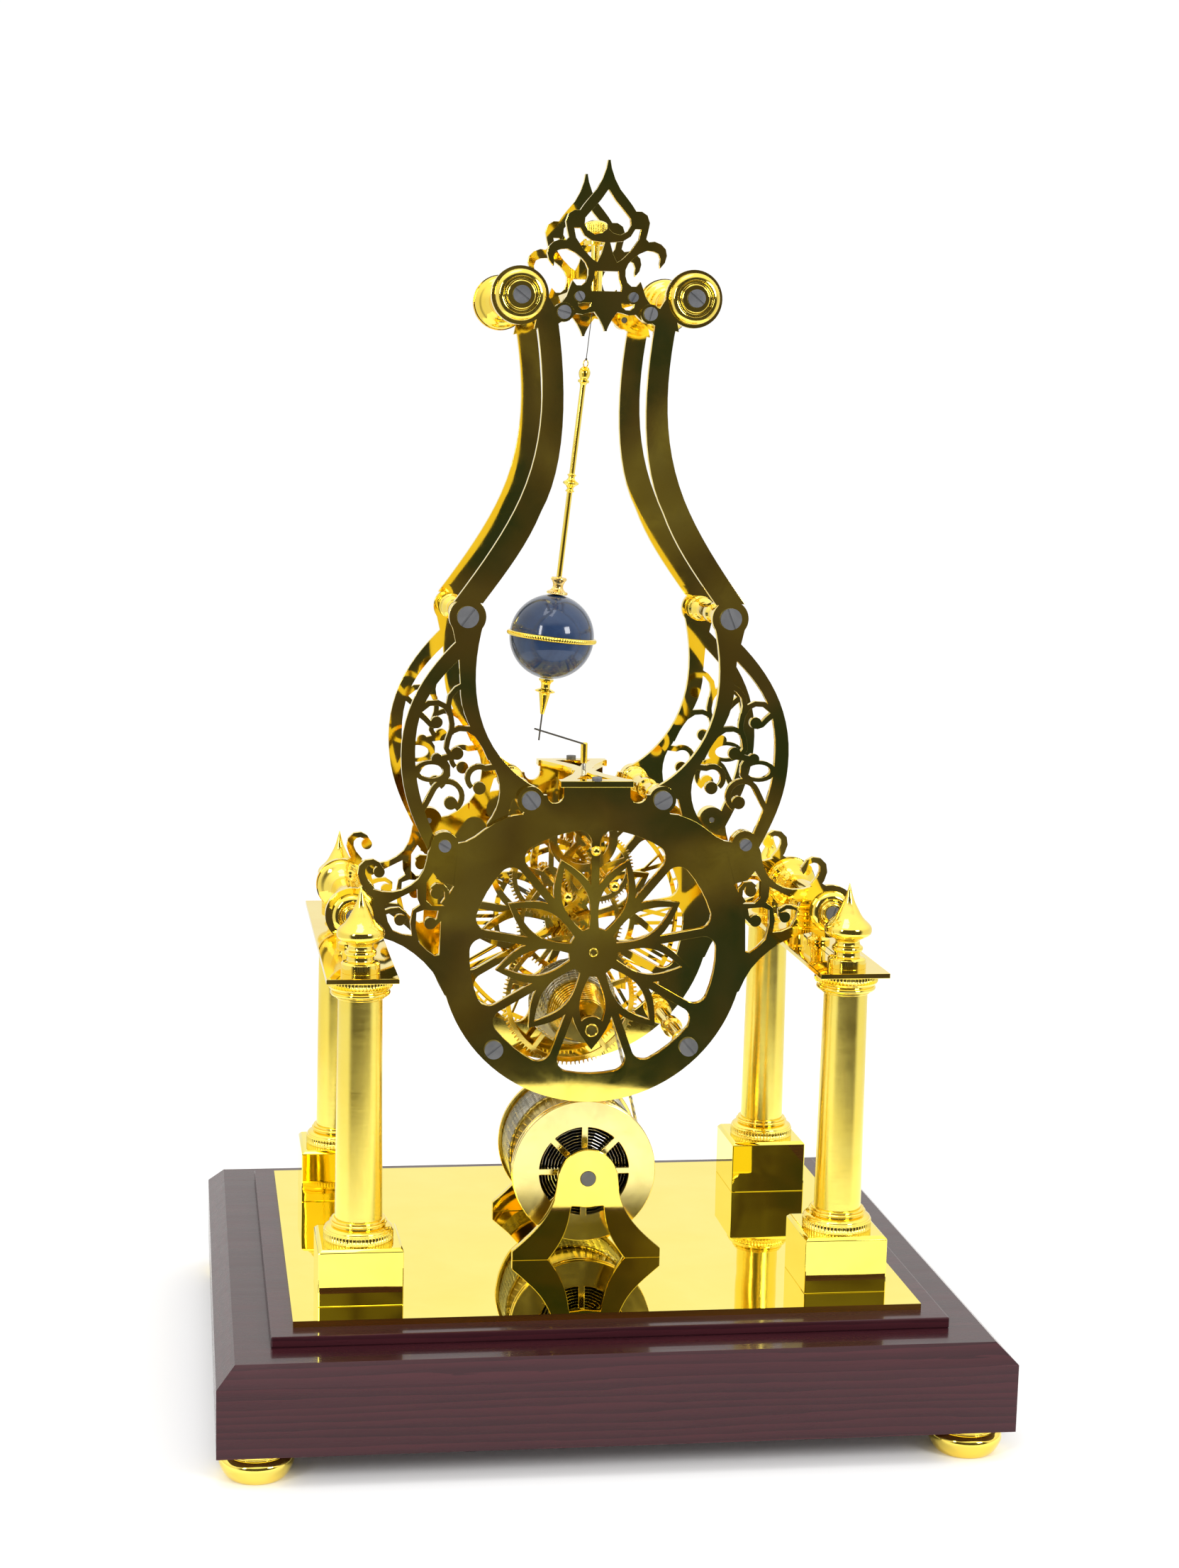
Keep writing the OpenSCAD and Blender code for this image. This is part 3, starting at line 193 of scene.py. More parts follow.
def steel(name, a, b, r0, r1, metal=1.0):
    """Steel between colours a and b and roughness r0 and r1, with fine marks across Y."""
    k = Mat(name, Metallic=metal)
    v = k.mapping()
    k.base(k.colours(k.noise(v, 90, 4, 0.6, 0.5), a, b))
    k.rough(k.ramp(k.noise(v, 160, 4, 0.6), 0.3, 0.7, r0, r1))
    k.bump(k.noise(k.mapping((200, 3000, 200)), 1, 3, 0.6), 0.3, 0.00001)
    return k.m


def wood():
    """Dark mahogany with its figure along X, under a glossy coat."""
    k = Mat("mahogany_gloss", Metallic=0.0, Coat_Weight=0.5, Coat_Roughness=0.07, Coat_IOR=1.45,
            Specular_IOR_Level=0.12)
    v = k.mapping((7, 130, 110), rot=(0, 0, 0.015))
    rings = k.new("ShaderNodeTexWave",
                  (("Scale", 0.9), ("Distortion", 7.0), ("Detail", 4.0), ("Detail Scale", 0.9),
                   ("Detail Roughness", 0.65)),
                  wave_type="BANDS", bands_direction="Z", wave_profile="SAW")
    k.link(v, rings.inputs["Vector"])
    figure = k.noise(v, 1.4, 6, 0.7, 0.6)
    mix = k.new("ShaderNodeMix", data_type="FLOAT")
    mix.inputs[0].default_value = 0.45
    k.link(figure, mix.inputs[2])
    k.link(rings.outputs["Fac"], mix.inputs[3])
    k.base(k.colours(mix.outputs[0], (0.022, 0.0055, 0.0085), (0.058, 0.0120, 0.0170), 0.15, 0.95))
    k.rough(k.ramp(figure, 0.3, 0.7, 0.22, 0.34))
    k.bump(k.noise(k.mapping((60, 1800, 1500)), 1, 2, 0.5), 0.06, 0.00004)
    k.bump(k.noise(k.mapping(), 14, 2, 0.4), 0.12, 0.0002, socket="Coat Normal")
    return k.m


def enamel():
    """Navy blue under a clear coat."""
    k = Mat("navy_enamel", Metallic=0.0, Coat_Weight=0.75, Coat_Roughness=0.045, Coat_IOR=1.5,
            Specular_IOR_Level=0.12)
    v = k.mapping()
    k.base(k.colours(k.noise(v, 60, 5, 0.65, 0.8), (0.012, 0.026, 0.068), (0.024, 0.048, 0.108)))
    k.rough(k.ramp(k.noise(v, 120, 3), 0.3, 0.7, 0.16, 0.28))
    k.bump(k.noise(v, 240, 2, 0.4), 0.05, 0.00004)
    return k.m


def silk():
    """Dark twisted thread."""
    k = Mat("silk_thread", Metallic=0.0, Sheen_Weight=0.5, Sheen_Roughness=0.4)
    twist = k.new("ShaderNodeTexWave", (("Scale", 1400),), wave_type="BANDS", bands_direction="DIAGONAL")
    k.link(k.mapping(), twist.inputs["Vector"])
    ply = twist.outputs["Fac"]
    k.base(k.colours(ply, (0.020, 0.018, 0.015), (0.070, 0.062, 0.050), 0.2, 0.8))
    k.rough(k.ramp(ply, 0, 1, 0.6, 0.8))
    k.bump(ply, 0.5, 0.00004)
    return k.m


M = {
    "brass": brass("brass_polished"),
    "turned": brass("brass_turned", r0=0.06, r1=0.12, grain=(30, 30, 9000), grain_s=0.10),
    "turned_y": brass("brass_turned_spool", r0=0.06, r1=0.12, grain=(30, 9000, 30), grain_s=0.10),
    "shaft": brass("brass_satin_shaft", (1.0, 0.82, 0.18), (0.98, 0.76, 0.12), 0.18, 0.27,
                   grain=(25, 25, 14000), grain_s=0.35, grain_d=0.00003),
    "sole": brass("brass_mirror", (1.0, 0.86, 0.16), (0.99, 0.82, 0.12), 0.012, 0.035, scratch=0.02),
    "wheel": brass("brass_wheel", (1.0, 0.79, 0.20), (0.96, 0.71, 0.13), 0.08, 0.16,
                   grain=(1500, 40, 1500), grain_s=0.15),
    "cap": brass("brass_cap_satin", (1.0, 0.87, 0.36), (1.0, 0.82, 0.27), 0.14, 0.24,
                 grain=(2600, 60, 300), grain_s=0.25),
    "pale": brass("brass_pale", (0.93, 0.72, 0.30), (0.80, 0.58, 0.20), 0.16, 0.26,
                  grain=(40, 40, 9000), grain_s=0.15),
    "blued": steel("steel_blued", (0.095, 0.098, 0.105), (0.15, 0.152, 0.16), 0.34, 0.5, metal=0.35),
    "steel": steel("steel_polished", (0.42, 0.42, 0.42), (0.56, 0.55, 0.53), 0.14, 0.26),
    "chain": steel("steel_chain", (0.34, 0.33, 0.28), (0.55, 0.53, 0.45), 0.22, 0.36),
    "wire": steel("steel_wire_dark", (0.035, 0.033, 0.030), (0.07, 0.065, 0.06), 0.4, 0.55, metal=0.3),
    "spring": steel("steel_spring", (0.30, 0.30, 0.31), (0.48, 0.48, 0.50), 0.16, 0.28),
    "wood": wood(),
    "navy": enamel(),
    "silk": silk(),
}


# ------------------------------------------------------------------ mesh helpers
def finish_mesh(name, me, mat, body, nodes=(), angle=None):
    """Makes the piece, lets it ride on its body, and hides the CAD nodes that it replaces."""
    ob = bpy.data.objects.new(name, me)
    scene.collection.objects.link(ob)
    me.materials.append(mat)
    me.polygons.foreach_set("use_smooth", [True] * len(me.polygons))
    if angle:
        me.set_sharp_from_angle(angle=math.radians(angle))
    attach(ob, body)
    if nodes:
        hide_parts(*nodes)


STRAIGHT = math.radians(172)  # a corner flatter than this stays as it is
MOST = 0.33                   # the largest fillet, as a share of the shorter side
SUPPORT = 1.35                # support points, in fillet lengths from the corner


def soften(prof, r, closed=False):
    """Rounds each corner of a turning profile, with a support point on each side of it."""
    n = len(prof)
    out = []
    for i in range(n):
        p = Vector(prof[i])
        if not closed and i in (0, n - 1):
            out.append(p)
            continue
        da, db = Vector(prof[i - 1]) - p, Vector(prof[(i + 1) % n]) - p
        if da.angle(db, math.pi) > STRAIGHT:
            out.append(p)
            continue
        t = min(r, da.length * MOST, db.length * MOST)
        da, db = da.normalized(), db.normalized()
        near, far = t * 0.42, t * 0.108
        out += [p + da * t * SUPPORT, p + da * t, p + da * near + db * far, p + (da + db) * t * 0.25,
                p + db * near + da * far, p + db * t, p + db * t * SUPPORT]
    return out


def spline(pts, n):
    """A smooth curve through points of a profile (Catmull-Rom), for ogees and bulbs."""
    out = []
    last = len(pts) - 1
    for i in range(last):
        p0, p1, p2, p3 = (Vector(pts[max(0, min(last, i + k))]) for k in (-1, 0, 1, 2))
        for j in range(n):
            t = j / n
            out.append(tuple(0.5 * (2 * p1 + (p2 - p0) * t + (2 * p0 - 5 * p1 + 4 * p2 - p3) * t ** 2
                                    + (3 * p1 - p0 - 3 * p2 + p3) * t ** 3)))
    return out + [tuple(pts[-1])]


UPRIGHT = Matrix.Identity(4)
ALONG_Y = Matrix.Rotation(-math.pi / 2, 4, "X")   # the turning axis becomes +Y
TO_BACK = Matrix.Rotation(math.pi / 2, 4, "X")    # the turning axis becomes -Y


def at(x, y, z):
    return Matrix.Translation((x, y, z))


def outward(side):
    return ALONG_Y if side > 0 else TO_BACK


class Turned:
    """Collects turned shapes in millimetres into one mesh.

    A knurl is (lower end, upper end, depth, number of ridges).
    """

    def __init__(self):
        self.v, self.f = [], []

    def add(self, prof, place, axis=UPRIGHT, seg=96, fillet=0.2, closed=False, knurl=None):
        turn = place @ axis
        rows = []
        for r, z in (soften(prof, fillet, closed) if fillet else prof):
            if r < 1e-4:
                rows.append([len(self.v)])
                self.v.append(turn @ Vector((0, 0, z)))
                continue
            rows.append(list(range(len(self.v), len(self.v) + seg)))
            for i in range(seg):
                a = TAU * i / seg
                rr = r
                if knurl and knurl[0] <= z <= knurl[1]:
                    rr -= knurl[2] * (0.5 - 0.5 * math.cos(knurl[3] * a)) ** 0.7
                self.v.append(turn @ Vector((rr * math.cos(a), rr * math.sin(a), z)))
        for lo, hi in zip(rows, rows[1:] + (rows[:1] if closed else [])):
            if len(lo) == 1 and len(hi) == 1:
                continue
            for i in range(seg):
                j = (i + 1) % seg
                if len(lo) == 1:
                    self.f.append((lo[0], hi[j], hi[i]))
                elif len(hi) == 1:
                    self.f.append((lo[i], lo[j], hi[0]))
                else:
                    self.f.append((lo[i], lo[j], hi[j], hi[i]))
        return self

    def done(self, name, mat, body, slot, nodes=(), angle=None):
        me = bpy.data.meshes.new(name)
        me.from_pydata([v * MM for v in self.v], [], self.f)
        bm = bmesh.new()
        bm.from_mesh(me)
        bmesh.ops.recalc_face_normals(bm, faces=bm.faces)
        bm.to_mesh(me)
        bm.free()
        finish_mesh(name, me, M[mat], body, nodes, angle)


def tube(name, pts, r, mat, body, nodes=(), seg=16, closed=False):
    """A round wire along points in millimetres."""
    pts = [Vector(p) for p in pts]
    n = len(pts)
    v, f = [], []
    side = None
    for i, p in enumerate(pts):
        after = pts[(i + 1) % n] if closed else pts[min(i + 1, n - 1)]
        before = pts[i - 1] if closed else pts[max(i - 1, 0)]
        d = (after - before).normalized()
        side = side or d.orthogonal().normalized()
        side = (side - d * side.dot(d)).normalized()
        other = d.cross(side)
        for k in range(seg):
            a = TAU * k / seg
            v.append((p + (side * math.cos(a) + other * math.sin(a)) * r) * MM)
    for i in range(n if closed else n - 1):
        j = (i + 1) % n
        for k in range(seg):
            m = (k + 1) % seg
            f.append((i * seg + k, i * seg + m, j * seg + m, j * seg + k))
    if not closed:
        f.append(tuple(reversed(range(seg))))
        f.append(tuple((n - 1) * seg + k for k in range(seg)))
    me = bpy.data.meshes.new(name)
    me.from_pydata(v, [], f)
    finish_mesh(name, me, M[mat], body, nodes, angle=50)


# ------------------------------------------------------------------ case
def feet():
    """Turned bun feet with their screws."""
    bun = spline([(10.9, 0.2), (12.0, 1.4), (13.1, 3.2), (13.9, 5.2), (14.0, 6.4), (13.6, 7.7),
                  (12.4, 8.8)], 4)
    collar = [(11.5, 9.2), (11.4, 9.7), (11.7, 10), (11.7, 12)]
    screw = [(2.5, 12), (2.5, 22), (0, 22)]
    t = Turned()
    for sx, sy in CORNERS:
        t.add([(0, 0), (10.6, 0)] + bun + collar + screw, at(sx * FOOT_X, sy * FOOT_Y, 0), fillet=0.25)
    t.done("turned_feet", "turned", "frame", "brass", ("feet",))


def column_rings():
    """Column bases and capitals, each with a knurled band."""
    base = ([(ROD_R, 0), (13.5, 0), (13.5, 3.3), (13.2, 3.7)]
            + spline([(13.1, 3.8), (13.0, 4.3), (12.2, 4.9), (11.0, 5.3), (10.5, 5.5)], 3)
            + [(10.4, 5.9), (10.9, 6.1)]
            + spline([(11.0, 6.2), (11.2, 6.6), (10.8, 7.0)], 3)
            + [(10.2, 7.1), (10.1, 7.35), (10.5, 7.5), (10.4, 7.85), (9.6, RING_H), (ROD_R, RING_H)])
    capital = ([(ROD_R, 0), (9.1, 0), (9.4, 0.3), (9.4, 0.9)]
               + spline([(9.6, 1.0), (11.0, 1.4), (11.5, 2.2), (11.3, 2.9), (10.7, 3.2)], 3)
               + [(10.6, 3.5)]
               + spline([(10.8, 3.6), (11.6, 3.9), (12.0, 4.3)], 3)
               + [(12.1, 4.6), (12.3, 4.8), (12.3, 7.4), (12.0, RING_H), (ROD_R, RING_H)])
    t = Turned()
    for x, y in COLUMNS:
        t.add(base, at(x, y, BLOCK_TOP), seg=240, fillet=0.16, closed=True, knurl=(0.2, 3.25, 0.5, 60))
        t.add(capital, at(x, y, BAR_Z - RING_H), seg=224, fillet=0.14, closed=True,
              knurl=(4.9, 7.5, 0.5, 56))
    t.done("knurled_column_rings", "turned", "frame", "brass", ("column_rings",))


def shafts():
    """Column shafts with a slight taper."""
    height = BAR_Z - BLOCK_TOP - 2 * RING_H
    t = Turned()
    for x, y in COLUMNS:
        t.add([(ROD_R, 0), (9.2, 0), (8.5, height), (ROD_R, height)], at(x, y, BLOCK_TOP + RING_H),
              closed=True, fillet=0.12)
    t.done("column_shafts", "shaft", "frame", "brass", ("columns",))


def finials():
    """A foot, a neck ring and a flame-shaped bulb on each column."""
    foot = [(2.02, 0), (7.5, 0), (7.5, 3.4), (6.9, 3.9), (6.7, 4.1), (5.3, 4.5), (5.1, 5.0), (5.1, 6.2),
            (5.8, 6.6)]
    neck_ring = spline([(5.9, 6.8), (6.1, 7.5), (5.9, 8.2)], 3)
    flame = spline([(4.9, 9.2), (4.75, 10.3), (5.5, 11.3), (7.4, 12.2), (8.8, 13.3), (9.2, 14.7),
                    (8.9, 16.2), (7.7, 17.6), (6.2, 19.0), (4.9, 20.7), (3.8, 22.7), (2.4, 25.4),
                    (1.35, 28.3), (0.6, 31.1), (0.15, 32.8)], 5)
    t = Turned()
    for x, y in COLUMNS:
        t.add(foot + neck_ring + [(5.2, 8.7)] + flame + [(0, 33)], at(x, y, BAR_TOP), fillet=0.12)
    t.done("flame_finials", "turned", "frame", "brass", ("finials",))


# ------------------------------------------------------------------ spools and pillars, turned along Y
def both_ends(face, ends, middle=()):
    """A profile with two equal ends: (radius, depth below the end face), and towards the
    middle (radius, distance from the middle)."""
    half = [(r, depth - face) for r, depth in ends] + [(r, -d) for r, d in middle]
    return half + [(r, -d) for r, d in reversed(half)]


def cross_spool(name, place, face, ends, node):
    """A pair of spools between the plates, one on each side."""
    t = Turned()
    for s in SIDES:
        t.add(both_ends(face, ends), at(s * place[0], 0, AXIS_Z + place[1]), ALONG_Y, fillet=0.15)
    t.done(name, "turned_y", "frame", "brass", (node,))


def spools():
    lower = ([(0, 0), (9.6, 0), (10, 0.4)]
             + spline([(10.15, 0.9), (10.2, 1.7), (9.4, 2.8), (7.2, 4.1), (5.6, 5.6)], 4)
             + [(5.2, 6.3), (5.2, 6.9), (6.3, 7.7), (6.4, 8.7), (5.3, 9.7), (5.0, 10.7)])
    upper = ([(0, 0), (9.9, 0), (10.3, 0.4)]
             + spline([(10.5, 1.0), (10.5, 1.8), (9.6, 3.2), (7.8, 4.4), (6.6, 5.9)], 4)
             + [(6.1, 6.9), (6.0, 8.3), (7.1, 9.2), (7.2, 10.6), (6.1, 11.6), (5.7, 13.5), (5.7, 20.5)])
    cross_spool("lower_cross_spools", SPOOL_LO, INNER_Y, lower, "lower_spools")
    cross_spool("upper_cross_spools", SPOOL_HI, LYRE_Y, upper, "top_spools")


def pillars():
    """Slim turned pillars that hold the two plates and the lyres apart."""
    ends = ([(5.0, 0), (5.2, 0.3), (5.2, 1.9)] + spline([(4.9, 2.3), (3.8, 3.1), (3.4, 4.2)], 3)
            + [(3.4, 5.0)]
            + spline([(3.6, 5.3), (4.7, 6.2), (4.8, 7.3), (4.2, 8.7), (3.3, 10.1), (3.0, 11.8)], 3))
    middle = [(3.0, 6), (3.2, 4), (4.1, 2.7), (4.2, 1.0)]
    t = Turned()
    for place, face in ((WAIST, LYRE_Y), (EAR, LYRE_Y), (LOW, INNER_Y)):
        for s in SIDES:
            t.add(both_ends(face, [(0, 0)] + ends, middle), at(s * place[0], 0, AXIS_Z + place[1]),
                  ALONG_Y, seg=48, fillet=0.12)
    t.done("plate_pillars", "turned_y", "frame", "brass", ("frame_pillars",))


def rosettes():
    """Domed washers under the spool screws, on both faces of the clock."""
    hole = 1.7
    t = Turned()
    for place, y, r in ((SPOOL_HI, INNER_Y, 9.9), (SPOOL_LO, PLATE_Y, 8.4)):
        prof = ([(hole, 0), (r, 0), (r, 1.0)]
                + spline([(r - 0.1, 1.3), (r - 0.5, 2.5), (r - 1.5, 3.3), (r - 2.5, 3.6)], 4)
                + [(r - 2.9, 3.5), (r - 3.1, 3.0)]
                + spline([(r - 3.4, 2.8), (r - 3.9, 2.8), (r - 4.3, 3.1)], 3)
                + [(r - 4.5, 3.7), (r - 4.9, 3.9), (hole, 3.9)])
        for sx, sy in CORNERS:
            t.add(prof, at(sx * place[0], sy * y, AXIS_Z + place[1]), outward(sy), closed=True,
                  fillet=0.14)
    t.done("turned_rosettes", "turned_y", "frame", "brass", ("rosettes",))


def pivot_rims():
    """Burnished rims round the centre and great pivot holes of both plates."""
    t = Turned()
    for z, r in ((AXIS_Z, 1.35), (AXIS_Z - GREAT_DROP, 2.2)):
        rim = [(r, 0), (r, 0.10), (r + 0.12, 0.18), (r + 0.3, 0.18), (r + 0.42, 0.10), (r + 0.45, 0)]
        for side in SIDES:
            t.add(rim, at(0, side * PLATE_Y, z), outward(side), seg=48, closed=True, fillet=0.04)
    t.done("pivot_hole_rims", "turned_y", "frame", "brass")


# ------------------------------------------------------------------ suspension and pendulum
# the pendulum's own leaning axis, with distances counted down from the suspension point
HANG = at(0, 0, HANG_Z) @ Matrix.Rotation(SWING, 4, "Y") @ Matrix.Rotation(math.pi, 4, "X")


def on_pendulum(x, y, down):
    return HANG @ Vector((x, y, down))


def rating_screw():
    """A threaded stem under a knurled, domed head."""
    stem = [(0, 0), (1.65, 0), (1.65, 18), (4.6, 18.0), (4.6, 19.6), (2.2, 20), (2.2, 21.4), (3.4, 21.8)]
    head = [(4.45, 22.5), (4.6, 22.9), (4.6, 26), (4.4, 26.3)]
    dome = spline([(3.8, 26.8), (2.2, 27.4), (0.2, 27.6)], 4)
    t = Turned()
    t.add(stem + head + dome + [(0, 27.6)], at(0, 0, HANG_Z + 0.4), seg=192, fillet=0.1,
          knurl=(22.8, 26.1, 0.35, 32))
    t.done("knurled_rating_screw", "turned", "rating_screw", "pendulum_brass", ("rating_screw",))


def pendulum_rod():
    """The rod with its head, its middle knop, and the tip below the ball."""
    head = ([(0, 28.6), (0.9, 28.65)]
            + spline([(1.2, 28.8), (2.0, 29.8), (2.3, 31.2), (2.0, 32.6), (1.6, 33.4)], 4)
            + [(1.6, 33.6), (2.2, 33.9), (2.2, 34.8), (1.5, 35.1), (1.1, 35.8)])
    knop = ([(1.1, 70.8), (1.75, 71.1), (1.75, 71.5), (1.25, 72.0), (1.3, 72.6)]
            + spline([(1.9, 73.4), (3.0, 74.1), (3.15, 74.5), (3.0, 74.9), (1.9, 75.6)], 3)
            + [(1.3, 76.4), (1.25, 77.0), (1.75, 77.5), (1.75, 77.9), (1.1, 78.2)])
    tip = ([(0, 153.1), (3.0, 153.1), (3.0, 153.8), (2.2, 154.5), (1.85, 155.3), (1.85, 156.6)]
           + spline([(2.0, 157.0), (3.2, 157.5), (4.0, 157.9), (4.0, 158.3), (3.2, 158.6)], 3)
           + [(2.4, 158.8), (2.2, 159.4), (0.75, 167.4), (0, 167.5)])
    t = Turned()
    t.add(head + knop + [(1.1, 111.8)], HANG, seg=48, fillet=0.1)
    t.add(tip, HANG, seg=48, fillet=0.1)
    t.done("pendulum_rod_turned", "turned", "pendulum", "pendulum_brass", ("pendulum_rod",), angle=60)


def ball_cap():
    """The pale cap on top of the ball, with a knurled edge."""
    neck = spline([(3.1, 112.4), (3.2, 113.0), (2.6, 113.9), (2.1, 115.2), (2.3, 116.6), (3.2, 117.5)], 4)
    edge = [(4.1, 117.9), (4.2, 118.2), (4.2, 118.8), (3.9, 118.95), (1.15, 118.95)]
    t = Turned()
    t.add([(1.15, 111.9), (2.8, 112.1)] + neck + edge, HANG, seg=160, fillet=0.08, closed=True,
          knurl=(118.0, 118.7, 0.2, 32))
    t.done("pendulum_ball_cap", "pale", "pendulum", "pendulum_brass")


def ball():
    steps = 96
    arc = [(BALL_R * math.sin(math.pi * i / steps), BALL_DROP - BALL_R * math.cos(math.pi * i / steps))
           for i in range(1, steps)]
    t = Turned()
    t.add([(0, BALL_DROP - BALL_R)] + arc + [(0, BALL_DROP + BALL_R)], HANG, seg=160, fillet=0)
    t.done("pendulum_ball_enamel", "navy", "pendulum", "navy_lacquer", ("pendulum_ball",))


def ball_ring():
    """A half-round ring about the ball, with a fine knurl at its waist."""
    steps, thick = 28, 1.05
    middle = BALL_R + 0.1
    section = [(middle + thick * math.cos(TAU * i / steps), BALL_DROP + thick * math.sin(TAU * i / steps))
               for i in range(steps)]
    t = Turned()
    t.add(section, HANG, seg=540, fillet=0, closed=True,
          knurl=(BALL_DROP - 0.5, BALL_DROP + 0.5, 0.22, 108))
    t.done("knurled_ball_ring", "turned", "pendulum", "pendulum_brass", ("ball_ring",))


def thread_and_eye():
    """The wire eye at the head of the rod, and the thread tied through it."""
    steps = 28
    angles = [math.radians(-90 + 360 * i / steps) for i in range(steps)]
    eye = [on_pendulum(0.88 * math.cos(a), 0, 27.4 - 1.45 * math.sin(a)) for a in angles]
    tube("rod_wire_eye", eye, 0.22, "turned", "pendulum", seg=12, closed=True)
    tube("suspension_thread_silk", [on_pendulum(0, 0, d) for d in (0.9, 8, 16, 22, 25.7)], 0.16, "silk",
         "pendulum", ("suspension_thread",), seg=12)
    t = Turned()
    t.add([(0, 25.2), (0.34, 25.35), (0.42, 25.8), (0.34, 26.2), (0, 26.3)], HANG, seg=20, fillet=0.04)
    t.done("thread_knot", "silk", "pendulum", "silk")


def needle_and_crank():
    """The needle under the pendulum, and the sleeve and wire of the crank that it pushes."""
    tube("drive_needle_wire", [on_pendulum(0, 0, d) for d in (167.5, 171, 175, 177.9, 178.1)], 0.33, "wire",
         "pendulum", ("drive_needle",))
    t = Turned()
    sleeve = [(0.82, 249.7), (1.4, 249.7), (1.4, 257.6), (1.15, 258), (0, 258), (0, 256.95), (0.82, 256.95)]
    t.add(sleeve, UPRIGHT, seg=48, fillet=0.1)
    t.done("spindle_head_sleeve", "turned", "spindle", "wheel_brass", ("crank_wire",))
    lean = math.radians(-73)
    start = Vector((0, -0.95, 257.4))
    along = Vector((math.sin(lean), 0, math.cos(lean)))
    tube("crank_wire_steel", [start + along * d for d in (0, 5, 10, 16, 21.3, 21.6)], 0.36, "wire",
         "spindle")


# ------------------------------------------------------------------ chain of riveted links
LINK_PITCH, LINK_W = 1.75, 1.25    # rivet to rivet, and height of a link plate
RIVET_R, RIVET_END = 0.28, 0.65
CHAIN_MID = 0.74              # middle of the chain above the metal it lies on
RUN_ROW = 8                   # the row where the straight run leaves


def link_plate(thick, y):
    """A link plate with round ends and a small chamfer: long along X, thin along Y."""
    ends = ((1, -90), (-1, 90))
    pts = []
    for side, first in ends:
        for a in (math.radians(first + 30 * i) for i in range(7)):
            pts.append((side * LINK_PITCH / 2 + LINK_W / 2 * math.cos(a), LINK_W / 2 * math.sin(a)))
    n = len(pts)
    face = [(x * 0.93, z * 0.86) for x, z in pts]
    half, chamfer = thick / 2, 0.06
    loops = ((pts, chamfer - half), (pts, half - chamfer), (face, -half), (face, half))
    v = [(x, y + d, z) for loop, d in loops for x, z in loop]
    f = [(a * n + i, a * n + (i + 1) % n, b * n + (i + 1) % n, b * n + i)
         for a, b in ((0, 1), (2, 0), (1, 3)) for i in range(n)]
    return v, f + [tuple(range(3 * n - 1, 2 * n - 1, -1)), tuple(range(3 * n, 4 * n))]


def rivet_pin():
    n = 8
    v = [(RIVET_R * math.cos(TAU * i / n), e * RIVET_END, RIVET_R * math.sin(TAU * i / n))
         for e in SIDES for i in range(n)]
    f = [(i, (i + 1) % n, n + (i + 1) % n, n + i) for i in range(n)]
    return v, f + [tuple(range(n - 1, -1, -1)), tuple(range(n, 2 * n))]


OUTER_LINK = (link_plate(0.3, -0.48), link_plate(0.3, 0.48))
INNER_LINK = (link_plate(0.5, 0),)
RIVET = rivet_pin()


def row_y(i):
    return ROW_START + ROW_STEP * i


def groove_r(i):
    """Radius of groove i of the fusee."""
    return 9.2 + 0.28 * i + 0.0105 * i * i


class Chain:
    """Collects pairs of outer plates, single inner plates and rivets, in millimetres."""

    def __init__(self):
        self.v, self.f = [], []

    def put(self, part, place):
        k = len(self.v)
        self.v += [place @ Vector(p) for p in part[0]]
        self.f += [tuple(k + i for i in face) for face in part[1]]

    def link(self, i, place):
        for plate in (OUTER_LINK if i % 2 else INNER_LINK):
            self.put(plate, place)

    def row(self, y, z, r):
        """One turn of chain round a drum of radius r."""
        rc = r + CHAIN_MID
        n = int(TAU * rc / LINK_PITCH / 2) * 2

        def round_drum(i):
            return at(0, y, z) @ Matrix.Rotation(TAU * i / n, 4, "Y") @ at(0, 0, rc)

        for i in range(n):
            self.link(i, round_drum(i))
            self.put(RIVET, round_drum(i + 0.5))

    def run(self, start, end):
        """The straight run from start to end."""
        way = end - start
        links = way.length / LINK_PITCH
        count = int((way.length - 1.2) / LINK_PITCH)
        tilt = Matrix.Rotation(math.atan2(-way.z, way.x), 4, "Y")
        for i in range(count):
            place = at(*(start + way * ((i + 0.5 + (links - count) / 2) / links))) @ tilt
            self.link(i, place)
            if i < count - 1:
                self.put(RIVET, place @ at(LINK_PITCH / 2, 0, 0))

    def done(self, name, body, node):
        me = bpy.data.meshes.new(name)
        me.from_pydata([p * MM for p in self.v], [], self.f)
        finish_mesh(name, me, M["chain"], body, (node,), angle=35)


def chains():
    """Rows on the dial half of the drum, rows on the fusee, and the run between them."""
    great_z = AXIS_Z - GREAT_DROP
    bed = 0.05
    on_barrel, on_fusee, between = Chain(), Chain(), Chain()
    for i in range(9, 19):
        on_barrel.row(row_y(i), BARREL_Z, DRUM_R + bed)
    on_barrel.done("barrel_chain_links", "barrel", "chain_on_barrel")
    for i in range(9, 18):
        on_fusee.row(row_y(i), great_z, groove_r(i) + bed)
    on_fusee.done("fusee_chain_links", "fusee", "chain_on_fusee")
    lift = 1.15
    drum, groove = DRUM_R + lift, groove_r(RUN_ROW) + lift
    lean = math.asin((drum - groove) / (great_z - BARREL_Z))
    out = Vector((math.cos(lean), 0, math.sin(lean)))
    y = row_y(RUN_ROW)
    between.run(Vector((0, y, BARREL_Z)) + out * drum, Vector((0, y, great_z)) + out * groove)
    between.done("chain_run_links", "frame", "chain_run")


